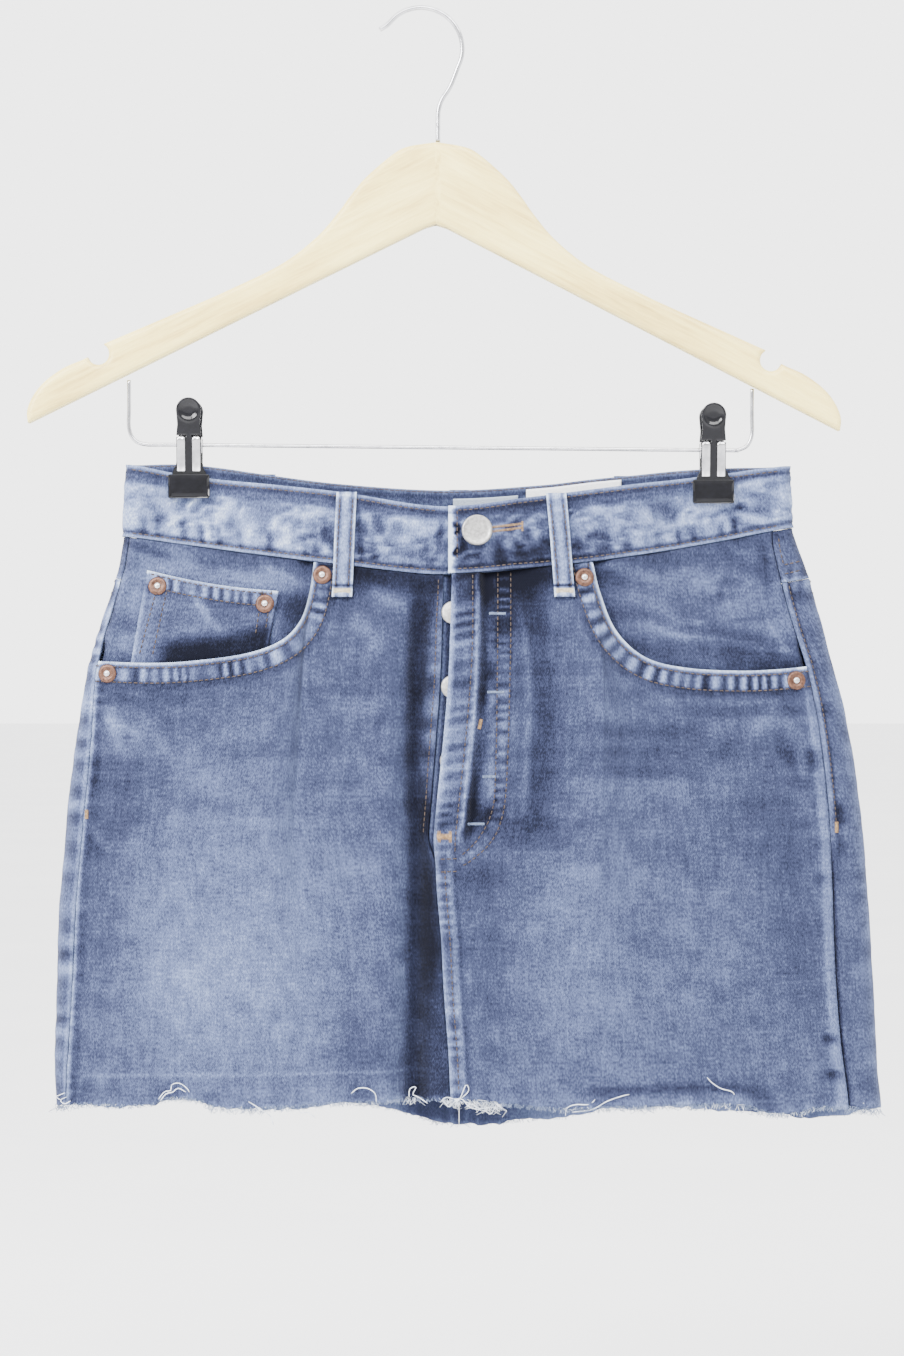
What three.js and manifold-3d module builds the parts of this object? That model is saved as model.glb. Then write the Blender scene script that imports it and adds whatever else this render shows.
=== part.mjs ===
// Denim mini skirt with a raw hem, a button fly and scooped pockets, held by two clips on a wooden hanger.
// Millimetres, +Z up. The front of the skirt faces -Y. The origin is the inside top of the hanger's hook.
import * as THREE from 'three';
import { mergeVertices } from 'three/addons/utils/BufferGeometryUtils.js';
import Module from 'manifold-3d';

const wasm = await Module();
wasm.setup();

// Cloth thickness and clearances
const GAP = 0.3;
const PANEL = 1.2;
const BAND_INNER = -0.7;
const BAND_OUTER = 1.9;
const FACING_INNER = -2.9;
const FACING_OUTER = -1.8;
const HALF_LAYERS = 0.85;

// The closed ring of the skirt at each level: side folds, half depth in the middle, radius of the side folds
const SECTIONS = [
  { z: -620, left: -200.5, right: 250.0, depth: 22.0, fold: 8.0 },
  { z: -600, left: -200.0, right: 249.6, depth: 22.0, fold: 8.0 },
  { z: -575, left: -199.6, right: 249.0, depth: 22.5, fold: 8.0 },
  { z: -535, left: -198.4, right: 247.0, depth: 23.5, fold: 8.0 },
  { z: -495, left: -197.2, right: 244.6, depth: 24.5, fold: 8.5 },
  { z: -457, left: -194.3, right: 241.6, depth: 25.5, fold: 9.0 },
  { z: -417, left: -190.0, right: 237.0, depth: 26.0, fold: 9.0 },
  { z: -388, left: -186.0, right: 232.0, depth: 26.0, fold: 9.0 },
  { z: -368, left: -182.6, right: 227.0, depth: 25.5, fold: 8.5 },
  { z: -348, left: -177.6, right: 221.6, depth: 24.0, fold: 8.0 },
  { z: -328, left: -171.0, right: 216.4, depth: 21.0, fold: 7.0 },
  { z: -308, left: -165.0, right: 210.4, depth: 17.5, fold: 6.0 },
  { z: -288, left: -162.0, right: 203.4, depth: 14.5, fold: 5.0 },
  { z: -268, left: -161.0, right: 201.2, depth: 12.5, fold: 4.6 },
  { z: -248, left: -160.0, right: 201.0, depth: 12.0, fold: 4.6 },
];
const SECTION_CENTRE = 20;

// How far each side seam lies in front of its side fold
const SIDE_SEAMS = [
  { z: -620, left: 6.0, right: 16.5 },
  { z: -595, left: 6.3, right: 17.0 },
  { z: -564, left: 7.5, right: 19.8 },
  { z: -525, left: 8.6, right: 20.6 },
  { z: -485, left: 9.2, right: 19.6 },
  { z: -442, left: 9.4, right: 17.8 },
  { z: -399, left: 8.2, right: 16.6 },
  { z: -360, left: 5.0, right: 15.0 },
  { z: -329, left: 3.6, right: 16.4 },
  { z: -303, left: 3.0, right: 14.4 },
  { z: -284, left: 3.0, right: 10.5 },
];

// Edges of the waistband
const BAND = [
  { x: -161, frontTop: -249.6, frontBottom: -289.4, backTop: -249.6, backBottom: -289.4 },
  { x: -127, frontTop: -255.8, frontBottom: -294.2, backTop: -249.8, backBottom: -289.6 },
  { x: -90, frontTop: -260.3, frontBottom: -299.3, backTop: -254.0, backBottom: -293.4 },
  { x: -46, frontTop: -265.2, frontBottom: -304.8, backTop: -259.4, backBottom: -298.6 },
  { x: 14, frontTop: -273.6, frontBottom: -310.6, backTop: -263.0, backBottom: -302.0 },
  { x: 68, frontTop: -267.3, frontBottom: -306.0, backTop: -260.0, backBottom: -299.2 },
  { x: 98, frontTop: -263.4, frontBottom: -302.8, backTop: -256.6, backBottom: -295.8 },
  { x: 149, frontTop: -256.9, frontBottom: -294.8, backTop: -252.5, backBottom: -291.0 },
  { x: 202, frontTop: -250.4, frontBottom: -284.5, backTop: -250.4, backBottom: -284.5 },
];
const BAND_START = 15.0;
const BAND_END = 46.0;
const BAND_LIFT = BAND_OUTER - BAND_INNER + GAP;
const BAND_LIFT_ENDS = { full: 49.0, none: 65.0 };

// Cut lower edge of the front and of the back
const HEM = [
  { x: -200, front: -600.6, back: -600.6 },
  { x: -190, front: -598.0, back: -601.0 },
  { x: -136, front: -594.6, back: -600.4 },
  { x: -103, front: -598.4, back: -601.0 },
  { x: -49, front: -596.8, back: -603.0 },
  { x: -17, front: -596.4, back: -606.5 },
  { x: 5, front: -595.4, back: -612.6 },
  { x: 27, front: -596.0, back: -615.2 },
  { x: 72, front: -600.0, back: -611.6 },
  { x: 105, front: -599.2, back: -606.2 },
  { x: 151, front: -598.4, back: -605.6 },
  { x: 183, front: -599.2, back: -608.0 },
  { x: 205, front: -600.4, back: -611.6 },
  { x: 235, front: -601.4, back: -609.6 },
  { x: 250, front: -603.4, back: -603.4 },
];
const HEM_LEVEL = -598;

// Largest soft folds: place at the top and bottom, spread to each side, depth into the body
const FRONT_FOLDS = [
  { top: -305, bottom: -700, topX: 1.0, bottomX: -7.0, spread: 6.5, depth: 7.0 },
  { top: -320, bottom: -700, topX: -17.0, bottomX: -28.0, spread: 8.0, depth: -1.8 },
  { top: -305, bottom: -470, topX: 63.0, bottomX: 58.0, spread: 10.0, depth: 4.2 },
  { top: -420, bottom: -700, topX: 96.0, bottomX: 116.0, spread: 26.0, depth: -2.2 },
  { top: -400, bottom: -700, topX: -92.0, bottomX: -107.0, spread: 24.0, depth: -2.0 },
];
const BACK_FOLDS = [
  { top: -330, bottom: -700, topX: -62.0, bottomX: -88.0, spread: 12.0, depth: 4.5 },
  { top: -360, bottom: -700, topX: 92.0, bottomX: 112.0, spread: 13.0, depth: 5.0 },
  { top: -330, bottom: -700, topX: 22.0, bottomX: 27.0, spread: 20.0, depth: -3.0 },
];
const FOLD_FADE = 45;

// Pocket edges, from the side seam inwards on the left and from the fly outwards on the right
const SCOOP_LEFT = [
  { x: -177.0, z: -357.6 },
  { x: -147.0, z: -358.6 },
  { x: -123.7, z: -357.5 },
  { x: -95.0, z: -353.7 },
  { x: -76.0, z: -346.9 },
  { x: -65.5, z: -336.4 },
  { x: -60.6, z: -322.0 },
  { x: -58.0, z: -303.8 },
];
const SCOOP_RIGHT = [
  { x: 93.4, z: -303.6 },
  { x: 97.4, z: -320.6 },
  { x: 106.0, z: -341.5 },
  { x: 122.0, z: -355.8 },
  { x: 144.7, z: -361.4 },
  { x: 173.5, z: -362.9 },
  { x: 195.0, z: -362.0 },
  { x: 211.4, z: -360.4 },
];

// Lower edges of the facings, hidden behind the fronts
const FACING_LEFT = [
  { x: -185, z: -378 },
  { x: -147, z: -384 },
  { x: -120, z: -383 },
  { x: -92, z: -378 },
  { x: -70, z: -368 },
  { x: -52, z: -350 },
];
const FACING_RIGHT = [
  { x: 88, z: -352 },
  { x: 106, z: -371 },
  { x: 130, z: -383 },
  { x: 165, z: -388 },
  { x: 215, z: -382 },
];
const FACING_SEAM = 0.5;
const FACING_INNER_END = { left: -52, right: 88 };
const FACING_OPENING = { left: -61, right: 97, ease: 7 };
const FACING_RISE = { bandFar: 10, bandNear: 1.5, seamFar: 8, seamNear: 2.5, seamLow: -353, seamHigh: -343 };
const FACING_GUESS = { low: -370, high: -300 };

// Edge of the right front, which laps over the left front down the fly and the centre seam
const FLY_EDGE = [
  { z: -605, x: 16.6 },
  { z: -573, x: 15.4 },
  { z: -538, x: 12.9 },
  { z: -508, x: 11.4 },
  { z: -476, x: 9.0 },
  { z: -455, x: 9.0 },
  { z: -428, x: 11.0 },
  { z: -380, x: 14.9 },
  { z: -351, x: 16.4 },
  { z: -311, x: 17.0 },
];
const FLY_TOP = -311;
const FLY_BOTTOM = -458;
const FLY_GAP_FADE = { below: 10, above: 6 };
const FLY_LIFT_FADE = { below: 12, above: 8 };
const FLY_LIFT = 3.9;
const FLY_FLAT = 14;
const FLY_SLOPE = 7;
const FLY_GAP = 4.6;
const UNDERLAP = { left: 5.5, right: 25, bottom: -466, inner: -1.6, outer: -0.4 };

// Seam between the yoke and the back panels
const YOKE_SEAM = [
  { x: -175, z: -311 },
  { x: -120, z: -321 },
  { x: -50, z: -336 },
  { x: 21, z: -350 },
  { x: 90, z: -337 },
  { x: 160, z: -322 },
  { x: 225, z: -310 },
];
const CENTRE_BACK = 21;

// Coin pocket on the left facing
const COIN_TOP = [
  { x: -151, z: -307.5 },
  { x: -125, z: -313.4 },
  { x: -100, z: -317.4 },
  { x: -77, z: -319.6 },
];
const COIN = { topLeft: -149.6, topRight: -77.2, bottomLeft: -159.6, bottomRight: -85.5, bottom: -368 };

// Belt loops
const LOOP_WIDTH = 11;
const LOOP_THICKNESS = 1.4;
const LOOP_ARCH = 1.7;
const LOOP_DROP = 18;
const BELT_LOOPS = [
  { name: 'belt_loop_front_left', face: 'front', topX: -40.2, bottomX: -42.5 },
  { name: 'belt_loop_front_right', face: 'front', topX: 73.6, bottomX: 78.2 },
  { name: 'belt_loop_back_left', face: 'back', topX: -86, bottomX: -88 },
  { name: 'belt_loop_back_centre', face: 'back', topX: 21, bottomX: 21 },
  { name: 'belt_loop_back_right', face: 'back', topX: 112, bottomX: 115 },
];

// Blank labels inside the back of the waistband
const LABEL_EASE = 0.5;
const LABELS = [
  { name: 'label_grey', left: 17.6, right: 53.5, drop: 1.8, height: 20, colour: 0xb9bfc4 },
  { name: 'label_white', left: 56.5, right: 109.0, drop: 0.8, height: 24, colour: 0xf3f3f0 },
];

// Metal trim
const RIVET_RADIUS = 5.1;
const WAIST_BUTTON = { x: 30.6, z: -287.4, radius: 8.4, height: 2.8 };
const FLY_BUTTON_RADIUS = 6.3;
const FLY_BUTTONS = [
  { name: 'fly_button_top', x: 17.6, z: -331.5 },
  { name: 'fly_button_middle', x: 17.4, z: -371.5 },
  { name: 'fly_button_bottom', x: 16.8, z: -411.5 },
];
const RIVETS = [
  { name: 'rivet_left_inner', x: -53.4, z: -311.0, seat: 'front' },
  { name: 'rivet_left_outer', x: -170.4, z: -364.4, seat: 'front' },
  { name: 'rivet_right_inner', x: 88.9, z: -312.4, seat: 'front' },
  { name: 'rivet_right_outer', x: 204.0, z: -368.2, seat: 'front' },
  { name: 'rivet_coin_left', x: -143.8, z: -316.6, seat: 'coin' },
  { name: 'rivet_coin_right', x: -84.6, z: -326.4, seat: 'coin' },
];

// Hanger
const HANGER_X = 9.3;
const HANGER_TILT = 0.0096;
const WOOD_THICKNESS = 12;
const WOOD_EDGE = 2;
const DOME = [
  { x: 0, z: -73.0 },
  { x: 15.5, z: -75.6 },
  { x: 24.0, z: -80.0 },
  { x: 38.5, z: -92.6 },
  { x: 47.5, z: -103.6 },
  { x: 53.5, z: -112.0 },
  { x: 66.0, z: -126.4 },
  { x: 86.0, z: -141.6 },
  { x: 120.0, z: -158.4 },
];
const NOTCH = { x: 184.4, z: -190.8, radius: 6.0, from: 1.09, sweep: 3.9 };
const ARM_END = [
  { x: 193.0, z: -194.2 },
  { x: 203.0, z: -198.6 },
  { x: 213.0, z: -205.8 },
  { x: 219.5, z: -213.6 },
  { x: 223.0, z: -222.0 },
  { x: 222.6, z: -229.2 },
];
const APEX = -116.4;
const APEX_ROUND = { halfWidth: 6, low: 3.4, high: 0.6 };
const HOOK_WIRE = 1.3;
const HOOK_RADIUS = 22.7;
const HOOK_ARC = { from: 0.8 * Math.PI, to: -0.16 * Math.PI };
const HOOK_TIP = { x: -22.6, rise: 10.6 };
const HOOK_STEM = [
  { x: 15.9, z: -42.3 },
  { x: 11.6, z: -49.0 },
  { x: 9.6, z: -55.0 },
  { x: 9.3, z: -62.0 },
  { x: 9.3, z: -72.5 },
];
const BAR_WIRE = 1.1;
const BAR_LEFT = -160.3;
const BAR_RIGHT = 181.7;
const BAR_HEIGHT = -238.8;
const BAR_FALL = -0.0101;
const BAR_BEND = 9;

// Clips, with the pad centre and the bar above it
const CLIPS = [
  { name: 'clip_left', x: -127.0, z: -261.8 },
  { name: 'clip_right', x: 160.1, z: -264.7 },
];
const PAD = { width: 22.5, height: 13, thickness: 3.4, face: 3.05 };
const PINCH = { flat: 12.6, reach: 34, outerReach: 17, below: 9.5, fall: 62 };
const LEVER = { width: 13.6, thickness: 1.5, lean: 0.11, leanFrom: 7, headHeight: 41.6 };
const DISH = { radius: 5, overlap: 0.3, back: 0.1, rim: 0.9, middle: 0.5 };
const SHOULDER = { halfWidth: 9.2, low: 4.5, high: 7.5, neck: 13 };
const NECK = { halfWidth: 1.4, low: 26.1, high: 29.0 };
const SPRING = {
  barAbove: 23.0,
  radius: 4.45,
  bore: 1.4,
  inside: 1.7,
  outside: 6.8,
  foot: 8.2,
  top: 28.2,
  thickness: 1.1,
};

// Tools for tables and blends
function mix(a, b, t) {
  return a + (b - a) * t;
}

function ramp(value, none, full) {
  const t = Math.min(1, Math.max(0, (value - none) / (full - none)));
  return t * t * (3 - 2 * t);
}

function follow(table, key, at, column) {
  const last = table.length - 1;
  if (at <= table[0][key]) return table[0][column];
  if (at >= table[last][key]) return table[last][column];
  let low = 0;
  while (table[low + 1][key] < at) low += 1;
  const slope = (row) => {
    const before = table[Math.max(row - 1, 0)];
    const after = table[Math.min(row + 1, last)];
    return (after[column] - before[column]) / (after[key] - before[key]);
  };
  const span = table[low + 1][key] - table[low][key];
  const t = (at - table[low][key]) / span;
  const rise = table[low + 1][column] - table[low][column];
  const start = slope(low) * span;
  const end = slope(low + 1) * span;
  const bend = 3 * rise - 2 * start - end;
  const twist = start + end - 2 * rise;
  return table[low][column] + t * start + t * t * bend + t * t * t * twist;
}

// The ring surface: the inner face of the panels, by angle round the body and level
function section(z) {
  const left = follow(SECTIONS, 'z', z, 'left');
  const right = follow(SECTIONS, 'z', z, 'right');
  return {
    left,
    right,
    middle: (left + right) / 2,
    half: (right - left) / 2,
    depth: follow(SECTIONS, 'z', z, 'depth'),
    fold: follow(SECTIONS, 'z', z, 'fold'),
  };
}

function pinchOpening(x, z) {
  let opening = 1;
  for (const clip of CLIPS) {
    const outward = Math.sign(clip.x - SECTION_CENTRE) * (x - clip.x) > 0;
    const reach = outward ? PINCH.outerReach : PINCH.reach;
    const across = ramp(Math.abs(x - clip.x), PINCH.flat, PINCH.flat + reach);
    const down = ramp(clip.z - z, PINCH.below, PINCH.below + PINCH.fall);
    opening *= 1 - (1 - across) * (1 - down);
  }
  return opening;
}

function foldDepth(folds, x, z) {
  let depth = 0;
  for (const fold of folds) {
    const along = (fold.top - z) / (fold.top - fold.bottom);
    const away = (x - mix(fold.topX, fold.bottomX, along)) / fold.spread;
    const fade = ramp(z, fold.top, fold.top - FOLD_FADE) * ramp(z, fold.bottom, fold.bottom + FOLD_FADE);
    depth += fold.depth * fade * Math.exp(-away * away / 2);
  }
  return depth;
}

function ringPoint(phi, z) {
  const ring = section(z);
  const across = Math.sin(phi);
  const x = ring.middle + ring.half * across;
  const inset = Math.min(ring.half * (1 - Math.abs(across)), ring.fold);
  const rounded = Math.sqrt(Math.max(0, 2 * ring.fold * inset - inset * inset));
  const swell = (ring.depth - ring.fold) * (1 - across * across) ** 0.9;
  const open = rounded + swell;
  const front = Math.cos(phi) >= 0;
  const folded = foldDepth(front ? FRONT_FOLDS : BACK_FOLDS, x, z) * ramp(Math.abs(across), 0.97, 0.85);
  const opening = pinchOpening(x, z);
  const depth = mix(HALF_LAYERS, open, opening) - folded;
  return new THREE.Vector3(x, front ? -depth : depth, z);
}

function ringNormal(phi, z) {
  const step = 0.002;
  const around = ringPoint(phi + step, z).sub(ringPoint(phi - step, z));
  const up = ringPoint(phi, z + 0.5).sub(ringPoint(phi, z - 0.5));
  return around.cross(up).normalize();
}

function frontAngle(x, z) {
  const ring = section(z);
  return Math.asin(Math.min(1, Math.max(-1, (x - ring.middle) / ring.half)));
}

function backAngle(x, z) {
  return Math.PI - frontAngle(x, z);
}

// A cloth wall over a grid of places, between two distances from the ring surface
function wall(grid, inner, outer) {
  const columns = grid.length;
  const rows = grid[0].length;
  const positions = [];
  for (const offset of [outer, inner]) {
    for (const column of grid) {
      for (const place of column) {
        const point = ringPoint(place.phi, place.z);
        point.addScaledVector(ringNormal(place.phi, place.z), offset(point.x, place.z, place));
        positions.push(point.x, point.y, point.z);
      }
    }
  }
  const under = columns * rows;
  const at = (i, j) => i * rows + j;
  const faces = [];
  const quad = (a, b, c, d) => faces.push(a, b, c, a, c, d);
  for (let i = 0; i + 1 < columns; i += 1) {
    for (let j = 0; j + 1 < rows; j += 1) {
      quad(at(i, j), at(i + 1, j), at(i + 1, j + 1), at(i, j + 1));
      quad(under + at(i, j), under + at(i, j + 1), under + at(i + 1, j + 1), under + at(i + 1, j));
    }
  }
  const rim = [];
  for (let i = 0; i < columns; i += 1) rim.push(at(i, 0));
  for (let j = 1; j < rows; j += 1) rim.push(at(columns - 1, j));
  for (let i = columns - 2; i >= 0; i -= 1) rim.push(at(i, rows - 1));
  for (let j = rows - 2; j >= 1; j -= 1) rim.push(at(0, j));
  rim.forEach((from, index) => {
    const to = rim[(index + 1) % rim.length];
    quad(under + from, under + to, to, from);
  });
  const geometry = new THREE.BufferGeometry();
  geometry.setAttribute('position', new THREE.Float32BufferAttribute(positions, 3));
  geometry.setIndex(faces);
  return geometry;
}

function spread(count) {
  return Array.from({ length: count + 1 }, (_, index) => index / count);
}

const level = (distance) => () => distance;

// Materials, meshes and solid joins
const part = new THREE.Group();

function finish(colour, roughness, metalness = 0) {
  return new THREE.MeshStandardMaterial({ color: colour, roughness, metalness });
}
const denim = () => finish(0x5b7aa6, 0.9);
const copper = () => finish(0xa4623c, 0.4, 0.9);
const silver = () => finish(0xa9a7a4, 0.35, 0.9);
const wood = () => finish(0xe9cfa2, 0.55);
const chrome = () => finish(0xd0d3d6, 0.15, 1);
const blackPlastic = () => finish(0x16161a, 0.4);

function named(name, geometry, material, parent = part) {
  const mesh = new THREE.Mesh(geometry, material);
  mesh.name = name;
  parent.add(mesh);
  return mesh;
}

function merged(geometry) {
  const plain = geometry.clone();
  plain.deleteAttribute('normal');
  plain.deleteAttribute('uv');
  return mergeVertices(plain, 1e-4);
}

function solid(geometry) {
  const plain = merged(geometry);
  const vertProperties = new Float32Array(plain.attributes.position.array);
  const triVerts = new Uint32Array(plain.index.array);
  return new wasm.Manifold(new wasm.Mesh({ numProp: 3, vertProperties, triVerts }));
}

function joined(geometries) {
  const mesh = geometries.map(solid).reduce((a, b) => a.add(b)).getMesh();
  const geometry = new THREE.BufferGeometry();
  geometry.setAttribute('position', new THREE.Float32BufferAttribute(mesh.vertProperties, 3));
  geometry.setIndex(Array.from(mesh.triVerts));
  return geometry;
}

// The level at which a column, whose angle depends on the level, meets an edge that depends on x
function settle(angleAt, edge, guess) {
  let z = guess;
  for (let pass = 0; pass < 4; pass += 1) {
    const angle = angleAt(z);
    z = edge(ringPoint(angle, z).x, Math.cos(angle) >= 0 ? 'front' : 'back');
  }
  return z;
}

// Waistband: one open strip, with the right end lapped over the left end at the centre front
const FOLD_REACH = 13;
const BAND_MIDDLE = -272;

function bandEdge(x, face, edge) {
  return follow(BAND, 'x', x, face + edge);
}

function bandLift(x, place) {
  return place.lapped ? BAND_LIFT * ramp(x, BAND_LIFT_ENDS.none, BAND_LIFT_ENDS.full) : 0;
}

function buildWaistband() {
  const rows = spread(4);
  const stations = [];
  const stretch = (count, build) => {
    const first = stations.length ? 1 : 0;
    stations.push(...spread(count).slice(first).map(build));
  };
  const { left, right } = section(BAND_MIDDLE);
  const [leftClip, rightClip] = CLIPS.map((clip) => [clip.x - PINCH.flat, clip.x + PINCH.flat]);
  const run = (face, turns, lapped, stops) => stops.slice(1).forEach(([x, count], index) => {
    stretch(count, (t) => ({ face, x: mix(stops[index][0], x, t), turns, lapped }));
  });
  run('front', 0, true, [[BAND_START], [BAND_LIFT_ENDS.full, 2], [BAND_LIFT_ENDS.none, 3], [rightClip[0], 6],
    [rightClip[1], 2], [right - FOLD_REACH, 2]]);
  stretch(6, (t) => ({ side: right, turn: t }));
  run('back', 0, false, [[right - FOLD_REACH], [rightClip[1], 2], [rightClip[0], 2], [leftClip[1], 13],
    [leftClip[0], 2], [left + FOLD_REACH, 1]]);
  stretch(6, (t) => ({ side: left, turn: t }));
  run('front', 1, false, [[left + FOLD_REACH], [leftClip[0], 1], [leftClip[1], 2], [BAND_END, 10]]);
  const grid = stations.map((station) => rows.map((v) => {
    const angleAt = (z) => {
      if (station.face === 'front') return frontAngle(station.x, z) + station.turns * 2 * Math.PI;
      if (station.face === 'back') return backAngle(station.x, z);
      const x = station.side + Math.sign(SECTION_CENTRE - station.side) * FOLD_REACH;
      const around = [frontAngle(x, z), backAngle(x, z), frontAngle(x, z) + 2 * Math.PI];
      const first = station.side > SECTION_CENTRE ? 0 : 1;
      return mix(around[first], around[first + 1], station.turn);
    };
    const low = settle(angleAt, (x, face) => bandEdge(x, face, 'Bottom'), BAND_MIDDLE);
    const high = settle(angleAt, (x, face) => bandEdge(x, face, 'Top'), BAND_MIDDLE);
    const z = mix(low, high, v);
    return { phi: angleAt(z), z, lapped: station.lapped };
  }));
  named('waistband', wall(grid,
    (x, z, place) => BAND_INNER + bandLift(x, place),
    (x, z, place) => BAND_OUTER + bandLift(x, place)), denim());
}

// Front panels, from the hem up to the waistband and the scooped pocket edges
function flyEdge(z) {
  return follow(FLY_EDGE, 'z', z, 'x');
}

function seamX(side, z) {
  const ring = section(z);
  const inset = follow(SIDE_SEAMS, 'z', z, side);
  return side === 'left' ? ring.left + inset : ring.right - inset;
}

function leftFrontEdge(z) {
  const open = ramp(z, FLY_BOTTOM - FLY_GAP_FADE.below, FLY_BOTTOM + FLY_GAP_FADE.above);
  return flyEdge(z) - mix(GAP, FLY_GAP, open);
}

function flyLift(x, z) {
  const across = ramp(x - flyEdge(z), FLY_FLAT + FLY_SLOPE, FLY_FLAT);
  return FLY_LIFT * across * ramp(z, FLY_BOTTOM - FLY_LIFT_FADE.below, FLY_BOTTOM + FLY_LIFT_FADE.above);
}

function curvePoints(table, count) {
  const points = table.map((row) => new THREE.Vector3(row.x, 0, row.z));
  return new THREE.CatmullRomCurve3(points, false, 'centripetal').getSpacedPoints(count);
}

function frontGrid(top, leftSide, rightSide, rowCount) {
  const fractions = top.map((point) => {
    const left = leftSide(point.z);
    return (point.x - left) / (rightSide(point.z) - left);
  });
  return top.map((point, index) => {
    const even = index / (top.length - 1);
    const low = mix(fractions[index], even, 0.45);
    const hemZ = follow(HEM, 'x', mix(leftSide(HEM_LEVEL), rightSide(HEM_LEVEL), low), 'front');
    return spread(rowCount).map((v) => {
      const z = mix(hemZ, point.z, v);
      const x = mix(leftSide(z), rightSide(z), mix(low, fractions[index], v));
      return { phi: frontAngle(x, z), z };
    });
  });
}

function bandLine(from, to, count) {
  return spread(count).map((t) => {
    const x = mix(from, to, t);
    return { x, z: bandEdge(x, 'front', 'Bottom') - GAP };
  });
}

function buildFronts() {
  const rows = 17;
  const scoopLeft = curvePoints(SCOOP_LEFT, 12);
  scoopLeft[0].x = seamX('left', scoopLeft[0].z) + GAP;
  const innerLeft = SCOOP_LEFT[SCOOP_LEFT.length - 1].x;
  const topLeft = [...scoopLeft.slice(0, -1), ...bandLine(innerLeft, leftFrontEdge(FLY_TOP), 8)];
  const leftGrid = frontGrid(topLeft, (z) => seamX('left', z) + GAP, leftFrontEdge, rows);
  named('front_left', wall(leftGrid, level(0), level(PANEL)), denim());

  const scoopRight = curvePoints(SCOOP_RIGHT, 11);
  const outerRight = scoopRight[scoopRight.length - 1];
  outerRight.x = seamX('right', outerRight.z) - GAP;
  const topRight = [...bandLine(flyEdge(FLY_TOP), SCOOP_RIGHT[0].x, 9), ...scoopRight.slice(1)];
  const rightGrid = frontGrid(topRight, flyEdge, (z) => seamX('right', z) - GAP, rows);
  named('front_right', wall(rightGrid, (x, z) => flyLift(x, z), (x, z) => PANEL + flyLift(x, z)), denim());
}

// Strip behind the fly, which carries the fly buttons
function buildUnderlap() {
  const grid = spread(4).map((u) => spread(11).map((v) => {
    const z = mix(UNDERLAP.bottom, bandEdge(flyEdge(FLY_TOP), 'front', 'Bottom') - GAP, v);
    const x = flyEdge(z) + mix(-UNDERLAP.left, UNDERLAP.right - UNDERLAP.left, u);
    return { phi: frontAngle(x, z), z };
  }));
  named('fly_underlap', wall(grid, level(UNDERLAP.inner), level(UNDERLAP.outer)), denim());
}

// Pocket facings lie behind the fronts and rise to their level at the waistband and the side seam
function facingRise(side, x, z) {
  const outward = side === 'left' ? -1 : 1;
  const inOpening = ramp(outward * (x - FACING_OPENING[side]), 0, FACING_OPENING.ease);
  const belowBand = bandEdge(x, 'front', 'Bottom') - z;
  const atBand = ramp(belowBand, FACING_RISE.bandFar, FACING_RISE.bandNear) * inOpening;
  const fromSeam = Math.abs(x - seamX(side, z));
  const aboveScoop = ramp(z, FACING_RISE.seamLow, FACING_RISE.seamHigh);
  const atSeam = ramp(fromSeam, FACING_RISE.seamFar, FACING_RISE.seamNear) * aboveScoop;
  return -FACING_INNER * Math.max(atBand, atSeam);
}

function buildFacing(side, table) {
  const seamGap = side === 'left' ? FACING_SEAM : -FACING_SEAM;
  const grid = spread(11).map((u) => spread(6).map((v) => {
    const towards = side === 'left' ? 1 - u : u;
    const xAt = (z) => mix(FACING_INNER_END[side], seamX(side, z) + seamGap, towards);
    const angleAt = (z) => frontAngle(xAt(z), z);
    const low = settle(angleAt, (x) => follow(table, 'x', x, 'z'), FACING_GUESS.low);
    const high = settle(angleAt, (x) => bandEdge(x, 'front', 'Bottom') - GAP, FACING_GUESS.high);
    const z = mix(low, high, v ** 0.85);
    return { phi: angleAt(z), z };
  }));
  named(`pocket_facing_${side}`, wall(grid,
    (x, z) => FACING_INNER + facingRise(side, x, z),
    (x, z) => FACING_OUTER + facingRise(side, x, z)), denim());
}

// Coin pocket, moved out from the left facing
function coinBase(x, z) {
  return FACING_OUTER + GAP + facingRise('left', x, z);
}

function buildCoinPocket() {
  const grid = spread(8).map((u) => spread(6).map((v) => {
    const topX = mix(COIN.topLeft, COIN.topRight, u);
    const z = mix(COIN.bottom, follow(COIN_TOP, 'x', topX, 'z'), v);
    const x = mix(mix(COIN.bottomLeft, COIN.bottomRight, u), topX, v);
    return { phi: frontAngle(x, z), z };
  }));
  named('coin_pocket', wall(grid, coinBase, (x, z) => coinBase(x, z) + PANEL), denim());
}

// Back: yoke halves and panels, from each side seam round its fold to the centre back seam
function backColumns(side) {
  const turn = 6;
  const flat = 12;
  const columns = [];
  const far = (z) => (side === 'left' ? section(z).left + FOLD_REACH : section(z).right - FOLD_REACH);
  for (let i = 0; i <= turn; i += 1) {
    columns.push((z) => {
      const start = frontAngle(seamX(side, z), z) + (side === 'left' ? 2 * Math.PI : 0);
      return mix(start, backAngle(far(z), z), i / turn);
    });
  }
  const end = side === 'left' ? CENTRE_BACK - GAP / 2 : CENTRE_BACK + GAP / 2;
  for (let i = 1; i <= flat; i += 1) {
    columns.push((z) => backAngle(mix(far(z), end, i / flat), z));
  }
  return side === 'left' ? columns.reverse() : columns;
}

function backGrid(side, lowAt, highAt, rowCount) {
  return backColumns(side).map((angleAt) => {
    const low = settle(angleAt, lowAt, lowAt(CENTRE_BACK, 'back'));
    const high = settle(angleAt, highAt, highAt(CENTRE_BACK, 'back'));
    return spread(rowCount).map((v) => {
      const z = mix(low, high, v);
      return { phi: angleAt(z), z };
    });
  });
}

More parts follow.
